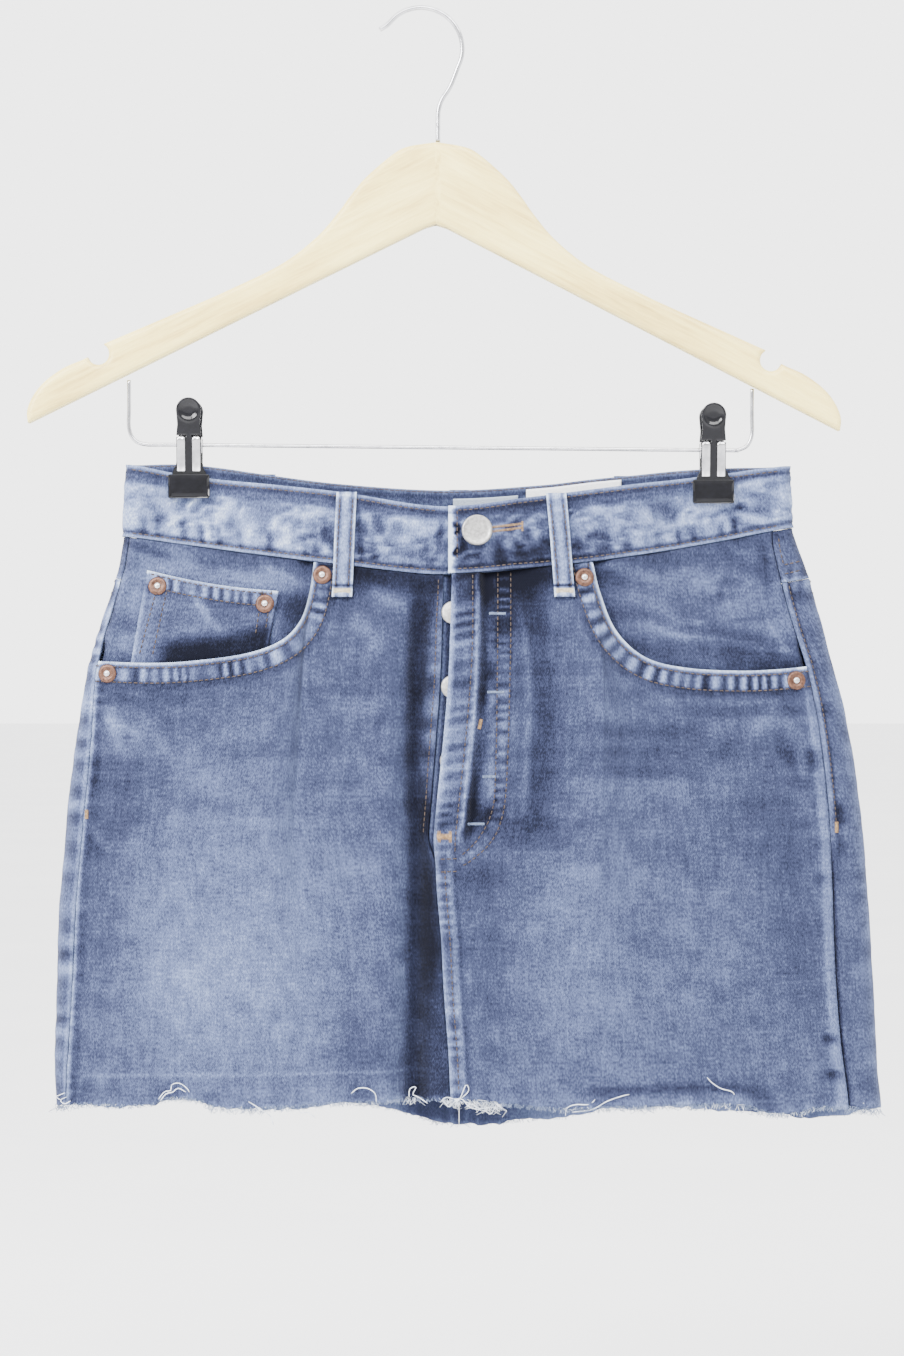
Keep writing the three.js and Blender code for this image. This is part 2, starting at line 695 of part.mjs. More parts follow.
function buildBacks() {
  for (const side of ['left', 'right']) {
    const hem = (x, face) => follow(HEM, 'x', x, face);
    const yokeSeam = (x) => follow(YOKE_SEAM, 'x', x, 'z');
    const underBand = (x, face) => bandEdge(x, face, 'Bottom') - GAP;
    const panel = backGrid(side, hem, (x) => yokeSeam(x) - GAP / 2, 14);
    named(`back_${side}`, wall(panel, level(0), level(PANEL)), denim());
    const yoke = backGrid(side, (x) => yokeSeam(x) + GAP / 2, underBand, 3);
    named(`yoke_${side}`, wall(yoke, level(0), level(PANEL)), denim());
  }
}

// Belt loops stand off the waistband in the middle and lie on the panel below it
function buildLoop(loop) {
  const bottomZ = bandEdge(loop.bottomX, loop.face, 'Bottom') - LOOP_DROP;
  const angle = loop.face === 'front' ? frontAngle : backAngle;
  const across = loop.face === 'front' ? 1 : -1;
  const grid = spread(2).map((u) => spread(11).map((v) => {
    const centre = mix(loop.bottomX, loop.topX, v);
    const x = centre + across * (u - 0.5) * LOOP_WIDTH;
    const z = mix(bottomZ, bandEdge(loop.topX, loop.face, 'Top') + 0.4, v);
    return { phi: angle(x, z), z };
  }));
  const inner = (x, z) => {
    const low = bandEdge(x, loop.face, 'Bottom');
    const high = bandEdge(x, loop.face, 'Top');
    const along = Math.min(1, Math.max(0, (z - low - 3) / (high - low - 6)));
    const onBand = ramp(z, low - 6, low - 1.2);
    return mix(PANEL + GAP, BAND_OUTER + GAP, onBand) + LOOP_ARCH * Math.sin(Math.PI * along);
  };
  named(loop.name, wall(grid, inner, (x, z) => inner(x, z) + LOOP_THICKNESS), denim());
}

function buildLabel(label) {
  const outer = BAND_INNER - GAP - LABEL_EASE;
  const thickness = 0.8;
  const grid = spread(4).map((u) => spread(2).map((v) => {
    const x = mix(label.right, label.left, u);
    const z = bandEdge(x, 'back', 'Top') - label.drop - label.height * (1 - v);
    return { phi: backAngle(x, z), z };
  }));
  named(label.name, wall(grid, level(outer - thickness), level(outer)), finish(label.colour, 0.8));
}

// Turned metal pieces, seated square on the cloth
function turned(profile, segments) {
  const points = profile.map(([radius, height]) => new THREE.Vector2(radius, height));
  return new THREE.LatheGeometry(points, segments).rotateX(Math.PI / 2);
}

function seated(name, geometry, material, x, z, lift) {
  const phi = frontAngle(x, z);
  const normal = ringNormal(phi, z);
  const mesh = named(name, geometry, material);
  mesh.position.copy(ringPoint(phi, z)).addScaledVector(normal, lift);
  mesh.quaternion.setFromUnitVectors(new THREE.Vector3(0, 0, 1), normal);
}

function buildTrim() {
  const r = RIVET_RADIUS;
  const rivetProfile = [[0, 0], [r, 0], [r, 0.5], [r * 0.8, 1.1], [r * 0.5, 0.8], [r * 0.34, 0.9], [r * 0.26, 1.5],
    [0, 1.6]];
  for (const rivet of RIVETS) {
    const lift = rivet.seat === 'coin' ? coinBase(rivet.x, rivet.z) + PANEL + GAP : PANEL + GAP;
    seated(rivet.name, turned(rivetProfile, 12), copper(), rivet.x, rivet.z, lift);
  }
  const { radius, height, x, z } = WAIST_BUTTON;
  const buttonProfile = [[0, 0], [radius * 0.86, 0], [radius, 0.9], [radius, 1.7], [radius * 0.9, height],
    [radius * 0.78, height], [radius * 0.7, height * 0.8], [0, height * 0.86]];
  seated('waist_button', turned(buttonProfile, 28), silver(), x, z, BAND_OUTER + BAND_LIFT + GAP);
  const f = FLY_BUTTON_RADIUS;
  const flyProfile = [[0, 0], [2.4, 0], [2.4, 1.0], [f, 1.0], [f, 2.2], [f * 0.84, 2.9], [0, 2.9]];
  for (const button of FLY_BUTTONS) {
    seated(button.name, turned(flyProfile, 16), silver(), button.x, button.z, UNDERLAP.outer + GAP);
  }
}

// Wooden arm: flat board with rounded edges, a dome at the hook and a strap notch on each arm
function woodOutline() {
  const domePoints = curvePoints(DOME, 20).map((point) => [point.x, point.z]);
  const notch = spread(8).map((t) => {
    const angle = Math.PI - NOTCH.from + NOTCH.sweep * t;
    return [NOTCH.x + NOTCH.radius * Math.cos(angle), NOTCH.z + NOTCH.radius * Math.sin(angle)];
  });
  const armEnd = ARM_END.map((row) => [row.x, row.z]);
  const half = [...domePoints, ...notch, ...armEnd];
  const mirrored = half.slice(1).reverse().map(([x, z]) => [-x, z]);
  const { halfWidth, low, high } = APEX_ROUND;
  const apex = [[halfWidth, APEX - low], [0, APEX - high], [-halfWidth, APEX - low]];
  return [...half, ...apex, ...mirrored];
}

function buildWood() {
  const shape = new THREE.Shape(woodOutline().map(([x, z]) => new THREE.Vector2(x, z)));
  const geometry = new THREE.ExtrudeGeometry(shape, {
    depth: WOOD_THICKNESS - 2 * WOOD_EDGE,
    bevelThickness: WOOD_EDGE,
    bevelSize: WOOD_EDGE,
    bevelOffset: -WOOD_EDGE,
    bevelSegments: 2,
  });
  geometry.translate(0, 0, WOOD_EDGE - WOOD_THICKNESS / 2);
  geometry.rotateX(Math.PI / 2);
  const mesh = named('hanger_wood', geometry, wood());
  mesh.position.x = HANGER_X;
  mesh.rotation.y = HANGER_TILT;
}

// Wires
const WIRE_SIDES = 8;

function wire(points, radius, steps) {
  const places = points.map(([x, z]) => new THREE.Vector3(x, 0, z));
  const path = new THREE.CatmullRomCurve3(places, false, 'centripetal');
  const ring = spread(WIRE_SIDES).slice(1).map((t) => {
    const angle = 2 * Math.PI * t;
    return new THREE.Vector2(radius * Math.cos(angle), radius * Math.sin(angle));
  });
  return new THREE.ExtrudeGeometry(new THREE.Shape(ring), { steps, extrudePath: path, bevelEnabled: false });
}

function buildHook() {
  const centre = HOOK_WIRE - HOOK_RADIUS;
  const arc = spread(9).map((t) => {
    const angle = mix(HOOK_ARC.from, HOOK_ARC.to, t);
    return [HOOK_RADIUS * Math.cos(angle), centre + HOOK_RADIUS * Math.sin(angle)];
  });
  const tip = [[HOOK_TIP.x, centre + HOOK_TIP.rise]];
  const stem = HOOK_STEM.map((row) => [row.x, row.z]);
  named('hanger_hook', wire([...tip, ...arc, ...stem], HOOK_WIRE, 38), chrome());
}

function barLevel(x) {
  return BAR_HEIGHT + BAR_FALL * (x - CLIPS[0].x);
}

function woodUnderside(x) {
  const slope = (ARM_END[ARM_END.length - 1].z - APEX) / ARM_END[ARM_END.length - 1].x;
  const local = x - HANGER_X;
  return APEX + slope * Math.abs(local) - HANGER_TILT * local;
}

function buildBar() {
  const clearance = 2.6;
  const leg = (x, inwards) => [
    [x, woodUnderside(x) - clearance],
    [x, mix(woodUnderside(x), barLevel(x), 0.5)],
    [x, barLevel(x) + BAR_BEND],
    [x + inwards * BAR_BEND * 0.3, barLevel(x) + BAR_BEND * 0.3],
    [x + inwards * BAR_BEND, barLevel(x)],
  ];
  const inner = [-136, -60, 20, 100, 168].map((x) => [x, barLevel(x)]);
  const points = [...leg(BAR_LEFT, 1), ...inner, ...leg(BAR_RIGHT, -1).reverse()];
  named('clip_bar', wire(points, BAR_WIRE, 44), chrome());
}

// Clip jaws: a black lever that leans out from the pad, with a finger dish in its round head
function leverOutline() {
  const half = LEVER.width / 2;
  const head = spread(10).map((t) => {
    const angle = Math.PI * t;
    return [half * Math.cos(angle), LEVER.headHeight + half * Math.sin(angle)];
  });
  const shoulder = [[SHOULDER.halfWidth, SHOULDER.low], [SHOULDER.halfWidth, SHOULDER.high], [half, SHOULDER.neck]];
  const neck = [[half, NECK.low], [NECK.halfWidth, NECK.low], [NECK.halfWidth, NECK.high], [half, NECK.high]];
  const right = [...shoulder, ...neck];
  const left = right.slice().reverse().map(([x, z]) => [-x, z]);
  return [...right, ...head, ...left];
}

function jawGeometry() {
  const headLevel = LEVER.headHeight - LEVER.leanFrom;
  const shape = new THREE.Shape(leverOutline().map(([x, z]) => new THREE.Vector2(x, z - LEVER.leanFrom)));
  const hole = new THREE.Path();
  hole.absarc(0, headLevel, DISH.radius, 0, 2 * Math.PI, true);
  shape.holes.push(hole);
  const extent = { depth: LEVER.thickness, bevelEnabled: false, curveSegments: 9 };
  const lever = new THREE.ExtrudeGeometry(shape, extent);
  const rim = DISH.radius + DISH.overlap;
  const slope = [rim / 2, mix(DISH.middle, DISH.rim, 0.25)];
  const dishProfile = [[0, DISH.back], [rim, DISH.back], [rim, DISH.rim], slope, [0, DISH.middle]];
  const dish = turned(dishProfile, 18).translate(0, headLevel, 0);
  for (const geometry of [lever, dish]) {
    geometry.rotateX(Math.PI / 2);
    geometry.rotateX(Math.atan(LEVER.lean));
    geometry.translate(0, -PAD.face, LEVER.leanFrom);
  }
  const pad = new THREE.BoxGeometry(PAD.width, PAD.thickness, PAD.height);
  pad.translate(0, -PAD.face - PAD.thickness / 2, 0);
  return joined([pad, lever, dish]);
}

function springGeometry() {
  const legInside = (z) => PAD.face + LEVER.thickness + GAP + LEVER.lean * (z - LEVER.leanFrom);
  const { foot, top, thickness } = SPRING;
  const outside = [[legInside(foot) + thickness, foot], [legInside(top) + thickness, top]];
  const inside = [[legInside(top - thickness), top - thickness], [legInside(foot), foot]];
  const half = [...outside, ...outside.slice().reverse().map(([y, z]) => [-y, z])];
  const inner = [...inside.slice().reverse().map(([y, z]) => [-y, z]), ...inside];
  const hoop = new THREE.Shape([...half, ...inner].map(([y, z]) => new THREE.Vector2(y, z)));
  const strap = (from) => {
    const width = SPRING.outside - SPRING.inside;
    const geometry = new THREE.ExtrudeGeometry(hoop, { depth: width, bevelEnabled: false });
    geometry.rotateX(Math.PI / 2);
    geometry.rotateZ(Math.PI / 2);
    return geometry.translate(from, 0, 0);
  };
  const ring = new THREE.Shape();
  ring.absarc(0, 0, SPRING.radius, 0, 2 * Math.PI, false);
  const bore = new THREE.Path();
  bore.absarc(0, 0, SPRING.bore, 0, 2 * Math.PI, true);
  ring.holes.push(bore);
  const extent = { depth: 2 * SPRING.outside, bevelEnabled: false, curveSegments: 8 };
  const barrel = new THREE.ExtrudeGeometry(ring, extent);
  barrel.rotateY(Math.PI / 2);
  barrel.translate(-SPRING.outside, 0, SPRING.barAbove);
  return joined([barrel, strap(-SPRING.outside), strap(SPRING.inside)]);
}

function buildClip(clip) {
  const group = new THREE.Group();
  group.position.set(clip.x, 0, clip.z);
  part.add(group);
  named(`${clip.name}_front_jaw`, jawGeometry(), blackPlastic(), group);
  const back = named(`${clip.name}_back_jaw`, jawGeometry(), blackPlastic(), group);
  back.rotation.z = Math.PI;
  named(`${clip.name}_spring`, springGeometry(), chrome(), group);
}

buildWaistband();
buildFronts();
buildUnderlap();
buildFacing('left', FACING_LEFT);
buildFacing('right', FACING_RIGHT);
buildCoinPocket();
buildBacks();
BELT_LOOPS.forEach(buildLoop);
LABELS.forEach(buildLabel);
buildTrim();
buildWood();
buildHook();
buildBar();
CLIPS.forEach(buildClip);

export default part;
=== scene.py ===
import math

import bpy
import numpy as np
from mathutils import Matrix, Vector
from mathutils.geometry import delaunay_2d_cdt


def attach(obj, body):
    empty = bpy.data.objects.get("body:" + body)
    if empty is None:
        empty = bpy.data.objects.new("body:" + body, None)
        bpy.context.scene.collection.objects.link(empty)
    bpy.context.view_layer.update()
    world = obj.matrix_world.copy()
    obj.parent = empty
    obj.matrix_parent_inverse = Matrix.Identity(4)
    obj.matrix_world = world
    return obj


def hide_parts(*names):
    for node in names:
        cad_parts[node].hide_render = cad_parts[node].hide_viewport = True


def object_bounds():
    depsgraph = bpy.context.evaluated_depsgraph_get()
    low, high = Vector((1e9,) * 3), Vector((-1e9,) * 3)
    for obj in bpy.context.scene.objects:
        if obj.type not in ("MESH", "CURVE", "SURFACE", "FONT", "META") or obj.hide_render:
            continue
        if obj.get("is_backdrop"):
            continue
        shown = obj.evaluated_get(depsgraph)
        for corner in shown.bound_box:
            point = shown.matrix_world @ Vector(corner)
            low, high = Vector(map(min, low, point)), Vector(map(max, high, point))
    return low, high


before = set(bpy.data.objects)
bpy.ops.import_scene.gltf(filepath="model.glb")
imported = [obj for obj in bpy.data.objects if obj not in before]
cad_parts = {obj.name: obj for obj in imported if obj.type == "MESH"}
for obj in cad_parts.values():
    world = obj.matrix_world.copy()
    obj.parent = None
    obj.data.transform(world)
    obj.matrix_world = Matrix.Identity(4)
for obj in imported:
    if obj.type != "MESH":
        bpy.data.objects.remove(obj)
cad_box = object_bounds()

MM = 0.001
TAU = 2 * math.pi
BODY = "root"

# Camera: the photograph's frame and where the object lies in it
PHOTO_WIDTH, PHOTO_HEIGHT = 904, 1356
PHOTO_SCALE = 0.549
HOOK_PIXEL = (421, 10)
CAMERA_DISTANCE = 1600
SENSOR = 36


def add_camera():
    data = bpy.data.cameras.new("camera")
    data.sensor_width = SENSOR
    data.lens = SENSOR * CAMERA_DISTANCE / (PHOTO_HEIGHT * PHOTO_SCALE)
    camera = bpy.data.objects.new("camera", data)
    x = (PHOTO_WIDTH / 2 - HOOK_PIXEL[0]) * PHOTO_SCALE
    z = (HOOK_PIXEL[1] - PHOTO_HEIGHT / 2) * PHOTO_SCALE
    camera.location = Vector((x, -CAMERA_DISTANCE, z)) * MM
    camera.rotation_euler = (math.pi / 2, 0, 0)
    bpy.context.scene.collection.objects.link(camera)
    bpy.context.scene.camera = camera


add_camera()


# Tables with named columns, and smooth curves through them
def table(names, *rows):
    return dict(zip(names.split(), np.array(rows, float).T))


def follow(rows, key, at, column):
    xs, ys = rows[key], rows[column]
    at = np.clip(np.asarray(at, float), xs[0], xs[-1])
    steep = np.diff(ys) / np.diff(xs)
    slope = np.concatenate((steep[:1], (ys[2:] - ys[:-2]) / (xs[2:] - xs[:-2]), steep[-1:]))
    low = np.clip(np.searchsorted(xs, at, side="right") - 1, 0, len(xs) - 2)
    span = xs[low + 1] - xs[low]
    t = (at - xs[low]) / span
    rise = ys[low + 1] - ys[low]
    start, end = slope[low] * span, slope[low + 1] * span
    return ys[low] + t * start + t * t * (3 * rise - 2 * start - end) + t ** 3 * (start + end - 2 * rise)


def mix(a, b, t):
    return a + (b - a) * t


def ramp(value, none, full):
    t = np.clip((np.asarray(value, float) - none) / (full - none), 0, 1)
    return t * t * (3 - 2 * t)


def bump(value, centre, width):
    return np.exp(-((value - centre) / width) ** 2)


def between(value, low, high, soft):
    return ramp(value, low - soft / 2, low + soft / 2) * ramp(value, high + soft / 2, high - soft / 2)


# Cloth thickness and clearances
GAP = 0.3
PANEL = 1.2
BAND_INNER, BAND_OUTER = -0.7, 1.9
FACING_INNER, FACING_OUTER = -2.9, -1.8
HALF_LAYERS = 0.85
SECTION_CENTRE = 20
FOLD_REACH = 13

SECTIONS = table(
    "z left right depth fold",
    (-620, -200.5, 250.0, 22.0, 8.0),
    (-600, -200.0, 249.6, 22.0, 8.0),
    (-575, -199.6, 249.0, 22.5, 8.0),
    (-535, -198.4, 247.0, 23.5, 8.0),
    (-495, -197.2, 244.6, 24.5, 8.5),
    (-457, -194.3, 241.6, 25.5, 9.0),
    (-417, -190.0, 237.0, 26.0, 9.0),
    (-388, -186.0, 232.0, 26.0, 9.0),
    (-368, -182.6, 227.0, 25.5, 8.5),
    (-348, -177.6, 221.6, 24.0, 8.0),
    (-328, -171.0, 216.4, 21.0, 7.0),
    (-308, -165.0, 210.4, 17.5, 6.0),
    (-288, -162.0, 203.4, 14.5, 5.0),
    (-268, -161.0, 201.2, 12.5, 4.6),
    (-248, -160.0, 201.0, 12.0, 4.6))
SIDE_SEAMS = table(
    "z left right",
    (-620, 6.0, 16.5), (-595, 6.3, 17.0), (-564, 7.5, 19.8), (-525, 8.6, 20.6), (-485, 9.2, 19.6),
    (-442, 9.4, 17.8), (-399, 8.2, 16.6), (-360, 5.0, 15.0), (-329, 3.6, 16.4), (-303, 3.0, 14.4),
    (-284, 3.0, 10.5))
BAND = table(
    "x front_top front_low back_top back_low",
    (-161, -249.6, -289.4, -249.6, -289.4),
    (-127, -255.8, -294.2, -249.8, -289.6),
    (-90, -260.3, -299.3, -254.0, -293.4),
    (-46, -265.2, -304.8, -259.4, -298.6),
    (14, -273.6, -310.6, -263.0, -302.0),
    (68, -267.3, -306.0, -260.0, -299.2),
    (98, -263.4, -302.8, -256.6, -295.8),
    (149, -256.9, -294.8, -252.5, -291.0),
    (202, -250.4, -284.5, -250.4, -284.5))
BAND_START, BAND_END = 15.0, 46.0
BAND_LIFT = BAND_OUTER - BAND_INNER + GAP
BAND_LIFT_FULL, BAND_LIFT_NONE = 49.0, 65.0
HEM = table(
    "x front back",
    (-200, -601.5, -601.5), (-190, -599.8, -601.0), (-148, -599.5, -600.6), (-138, -595.8, -600.4),
    (-122, -595.8, -600.6), (-113, -599.2, -600.8), (-103, -600.0, -601.0), (-80, -600.0, -601.8),
    (-49, -597.4, -603.0), (-17, -596.4, -606.5), (5, -595.4, -612.6), (27, -596.0, -615.2),
    (72, -600.0, -611.6), (105, -599.2, -606.2), (151, -598.4, -605.6), (176, -599.2, -607.0),
    (188, -603.4, -608.2), (205, -604.0, -609.0), (214, -601.4, -609.0), (235, -601.4, -607.6),
    (250, -603.4, -603.4))
FOLD_FADE = 45
FOLD_COLUMNS = "top low top_x low_x spread depth"
FRONT_FOLDS = table(
    FOLD_COLUMNS,
    (-305, -700, 1.0, -7.0, 6.5, 7.0),
    (-320, -700, -17.0, -28.0, 8.0, -1.8),
    (-305, -470, 63.0, 58.0, 10.0, 4.2),
    (-420, -700, 96.0, 116.0, 26.0, -2.2),
    (-400, -700, -92.0, -107.0, 24.0, -2.0))
BACK_FOLDS = table(
    FOLD_COLUMNS,
    (-330, -700, -62.0, -88.0, 12.0, 4.5),
    (-360, -700, 92.0, 112.0, 13.0, 5.0),
    (-330, -700, 22.0, 27.0, 20.0, -3.0))
CLIPS = table("x z", (-127.0, -261.8), (160.1, -264.7))
PINCH_FLAT, PINCH_REACH, PINCH_OUTER, PINCH_BELOW, PINCH_FALL = 12.6, 34, 17, 9.5, 62
SCOOP_LEFT = ((-177.0, -357.6), (-147.0, -358.6), (-123.7, -357.5), (-95.0, -353.7), (-76.0, -346.9),
              (-65.5, -336.4), (-60.6, -322.0), (-58.0, -303.8))
SCOOP_RIGHT = ((93.4, -303.6), (97.4, -320.6), (106.0, -341.5), (122.0, -355.8), (144.7, -361.4),
               (173.5, -362.9), (195.0, -362.0), (211.4, -360.4))
FACING_LEFT = table("x z", (-185, -378), (-147, -384), (-120, -383), (-92, -378), (-70, -368), (-52, -350))
FACING_RIGHT = table("x z", (88, -352), (106, -371), (130, -383), (165, -388), (215, -382))
FACING_END = {"left": -52, "right": 88}
FLY_EDGE = table(
    "z x",
    (-605, 16.6), (-573, 15.4), (-538, 12.9), (-508, 11.4), (-476, 9.0), (-455, 9.0), (-428, 11.0),
    (-380, 14.9), (-351, 16.4), (-311, 17.0))
FLY_BOTTOM, FLY_LIFT, FLY_FLAT, FLY_SLOPE, FLY_GAP = -458, 3.9, 14, 4.5, 4.6
UNDERLAP_LEFT, UNDERLAP_RIGHT, UNDERLAP_LOW, UNDERLAP_INNER, UNDERLAP_OUTER = 5.5, 25, -466, -1.6, -0.4
YOKE_SEAM = table("x z", (-175, -311), (-120, -321), (-50, -336), (21, -350), (90, -337), (160, -322),
                  (225, -310))
CENTRE_BACK = 21
COIN_TOP = table("x z", (-151, -307.5), (-125, -313.4), (-100, -317.4), (-77, -319.6))
COIN_TOP_LEFT, COIN_TOP_RIGHT, COIN_LOW_LEFT, COIN_LOW_RIGHT, COIN_LOW = -149.6, -77.2, -159.6, -85.5, -368


# Repeatable smooth noise
def lattice(i, j, seed):
    mixed = (i * 374761393 + j * 668265263 + seed * 974711) & 0x7FFFFFFF
    mixed = ((mixed ^ (mixed >> 13)) * 1274126177) & 0x7FFFFFFF
    return ((mixed ^ (mixed >> 16)) & 0xFFFF) / 32767.5 - 1


def noise(u, v, seed):
    u, v = np.asarray(u, float), np.asarray(v, float) + np.zeros_like(u)
    i, j = np.floor(u).astype(np.int64), np.floor(v).astype(np.int64)
    s, t = u - i, v - j
    s, t = s * s * (3 - 2 * s), t * t * (3 - 2 * t)
    low = mix(lattice(i, j, seed), lattice(i + 1, j, seed), s)
    high = mix(lattice(i, j + 1, seed), lattice(i + 1, j + 1, seed), s)
    return mix(low, high, t)


def rough(u, v, seed):
    return 0.65 * noise(u, v, seed) + 0.35 * noise(u * 2.3, v * 2.3, seed + 7)


def creased(u, v, seed):
    """Sharp crests with wide soft hollows between them."""
    warp = 0.7 * noise(u * 0.6, v * 0.6, seed + 5)
    return 1 - 2.4 * np.abs(noise(u + warp, v - warp, seed))


# The ring surface: the inner face of the panels, by angle round the body and level
def section(z):
    left, right = follow(SECTIONS, "z", z, "left"), follow(SECTIONS, "z", z, "right")
    return left, right, follow(SECTIONS, "z", z, "depth"), follow(SECTIONS, "z", z, "fold")


def pinch_opening(x, z):
    opening = 1.0
    for clip_x, clip_z in zip(CLIPS["x"], CLIPS["z"]):
        outward = math.copysign(1, clip_x - SECTION_CENTRE) * (x - clip_x) > 0
        reach = np.where(outward, PINCH_OUTER, PINCH_REACH)
        across = ramp(np.abs(x - clip_x), PINCH_FLAT, PINCH_FLAT + reach)
        down = ramp(clip_z - z, PINCH_BELOW, PINCH_BELOW + PINCH_FALL)
        opening = opening * (1 - (1 - across) * (1 - down))
    return opening


def fold_depth(folds, x, z):
    total = 0.0
    for top, low, top_x, low_x, spread, depth in zip(*folds.values()):
        away = (x - mix(top_x, low_x, (top - z) / (top - low))) / spread
        fade = ramp(z, top, top - FOLD_FADE) * ramp(z, low, low + FOLD_FADE)
        total = total + depth * fade * np.exp(-away * away / 2)
    return total


def ring_point(phi, z):
    left, right, depth, fold = section(z)
    half = (right - left) / 2
    across = np.sin(phi)
    x = (left + right) / 2 + half * across
    inset = np.minimum(half * (1 - np.abs(across)), fold)
    rounded = np.sqrt(np.maximum(0, 2 * fold * inset - inset * inset))
    swell = (depth - fold) * np.maximum(0, 1 - across * across) ** 0.9
    front = np.cos(phi) >= 0
    folded = np.where(front, fold_depth(FRONT_FOLDS, x, z), fold_depth(BACK_FOLDS, x, z))
    folded = folded * ramp(np.abs(across), 0.97, 0.85)
    out = mix(HALF_LAYERS, rounded + swell, pinch_opening(x, z)) - folded
    return np.stack((x, np.where(front, -out, out), z + 0 * x), axis=-1)


def ring_normal(phi, z):
    around = ring_point(phi + 0.002, z) - ring_point(phi - 0.002, z)
    up = ring_point(phi, z + 0.5) - ring_point(phi, z - 0.5)
    normal = np.cross(around, up)
    return normal / np.linalg.norm(normal, axis=-1, keepdims=True)


def front_angle(x, z):
    left, right, _, _ = section(z)
    return np.arcsin(np.clip((x - (left + right) / 2) / ((right - left) / 2), -1, 1))


def back_angle(x, z):
    return math.pi - front_angle(x, z)


def place_angle(face, x, z):
    return front_angle(x, z) if face == "front" else back_angle(x, z)


def settle(angle_at, edge, guess):
    z = guess
    for _ in range(4):
        phi = angle_at(z)
        z = edge(ring_point(phi, z)[..., 0], np.cos(phi) >= 0)
    return z


def band_edge(x, is_front, edge):
    return np.where(is_front, follow(BAND, "x", x, f"front_{edge}"), follow(BAND, "x", x, f"back_{edge}"))


def hem_level(x, is_front):
    return np.where(is_front, follow(HEM, "x", x, "front"), follow(HEM, "x", x, "back"))


def yoke_level(x):
    return follow(YOKE_SEAM, "x", x, "z")


def fly_edge(z):
    return follow(FLY_EDGE, "z", z, "x")


def seam_x(side, z):
    left, right, _, _ = section(z)
    inset = follow(SIDE_SEAMS, "z", z, side)
    return left + inset if side == "left" else right - inset


def left_front_edge(z):
    return fly_edge(z) - mix(GAP, FLY_GAP, ramp(z, FLY_BOTTOM - 10, FLY_BOTTOM + 6))


def fly_lift(x, z):
    across = ramp(x - fly_edge(z), FLY_FLAT + FLY_SLOPE, FLY_FLAT)
    return FLY_LIFT * across * ramp(z, FLY_BOTTOM - 12, FLY_BOTTOM + 8)


# Lines on the cloth: distance to them and length along them
LINE_STEP, CURVE_STEP, CURVE_PARTS, SAMPLE_STEP = 2.0, 1.5, 8, 4.0


def lengths_along(points):
    return np.concatenate(([0], np.cumsum(np.linalg.norm(np.diff(points, axis=0), axis=1))))


class Line:
    def __init__(self, points, spacing=LINE_STEP):
        points = np.array(points, float)
        along = lengths_along(points)
        at = along
        if spacing < math.inf:
            at = np.linspace(0, along[-1], max(2, int(along[-1] / spacing) + 1))
        self.points = np.stack([np.interp(at, along, points[:, k]) for k in (0, 1)], axis=1)

    def measure(self, x, z):
        """Distance from the line, positive on its left, and the length along it."""
        best = np.full(np.shape(x), math.inf)
        side, arc = np.zeros(np.shape(x)), np.zeros(np.shape(x))
        passed = 0.0
        for (ax, az), (bx, bz) in zip(self.points[:-1], self.points[1:]):
            dx, dz = bx - ax, bz - az
            length = math.hypot(dx, dz)
            t = np.clip(((x - ax) * dx + (z - az) * dz) / length ** 2, 0, 1)
            away = np.hypot(x - ax - t * dx, z - az - t * dz)
            nearer = away < best
            best = np.where(nearer, away, best)
            side = np.where(nearer, np.sign(dx * (z - az) - dz * (x - ax)), side)
            arc = np.where(nearer, passed + t * length, arc)
            passed += length
        return best * side, arc

    def shifted(self, distance):
        heading = np.gradient(self.points, axis=0)
        heading /= np.linalg.norm(heading, axis=1, keepdims=True)
        return Line(self.points + np.stack((-heading[:, 1], heading[:, 0]), axis=1) * distance)


def smooth_line(points):
    """A curve through the points."""
    points = np.array(points, float)
    padded = np.concatenate(([2 * points[0] - points[1]], points, [2 * points[-1] - points[-2]]))
    result = []
    for k in range(len(points) - 1):
        p0, p1, p2, p3 = padded[k:k + 4]
        for t in np.arange(CURVE_PARTS) / CURVE_PARTS:
            bend = (2 * p0 - 5 * p1 + 4 * p2 - p3) * t ** 2 + (3 * p1 - p0 - 3 * p2 + p3) * t ** 3
            result.append(0.5 * (2 * p1 + (p2 - p0) * t + bend))
    return Line(result + [points[-1]], CURVE_STEP)


def level_line(x_at, high, low):
    return Line([(float(x_at(z)), z) for z in np.arange(high, low, -SAMPLE_STEP)])


def edge_line(z_at, left, right):
    return Line([(x, float(z_at(x))) for x in np.arange(left, right, SAMPLE_STEP)])


scoop_left, scoop_right = smooth_line(SCOOP_LEFT), smooth_line(SCOOP_RIGHT)
fly_row = smooth_line(((28.2, -311), (27.9, -351), (25.2, -390), (19.5, -447), (18.6, -462)))
fly_ridge = smooth_line(((31.4, -311), (31.0, -351), (29.4, -385), (24.0, -436), (22.6, -447)))
j_inner = smooth_line(((41.9, -309), (41.4, -360), (40.3, -421), (38.1, -440), (30.8, -454), (21.0, -463.5)))
j_outer = smooth_line(((48.9, -309), (48.2, -360), (46.2, -424), (43.0, -445), (37.0, -456.5), (27.0, -465.5),
                       (20.5, -469)))
valley_line = smooth_line(((-2.0, -312), (-5.0, -390), (-4.0, -470), (-6.0, -600)))
right_ridge = smooth_line(((53.0, -326), (57.0, -350), (58.5, -385), (56.0, -440)))
right_valley = smooth_line(((59.0, -314), (64.5, -345), (66.5, -400), (62.0, -455)))
old_hem = Line(((-183.5, -583.5), (-93.5, -581.6), (4.0, -579.0)))

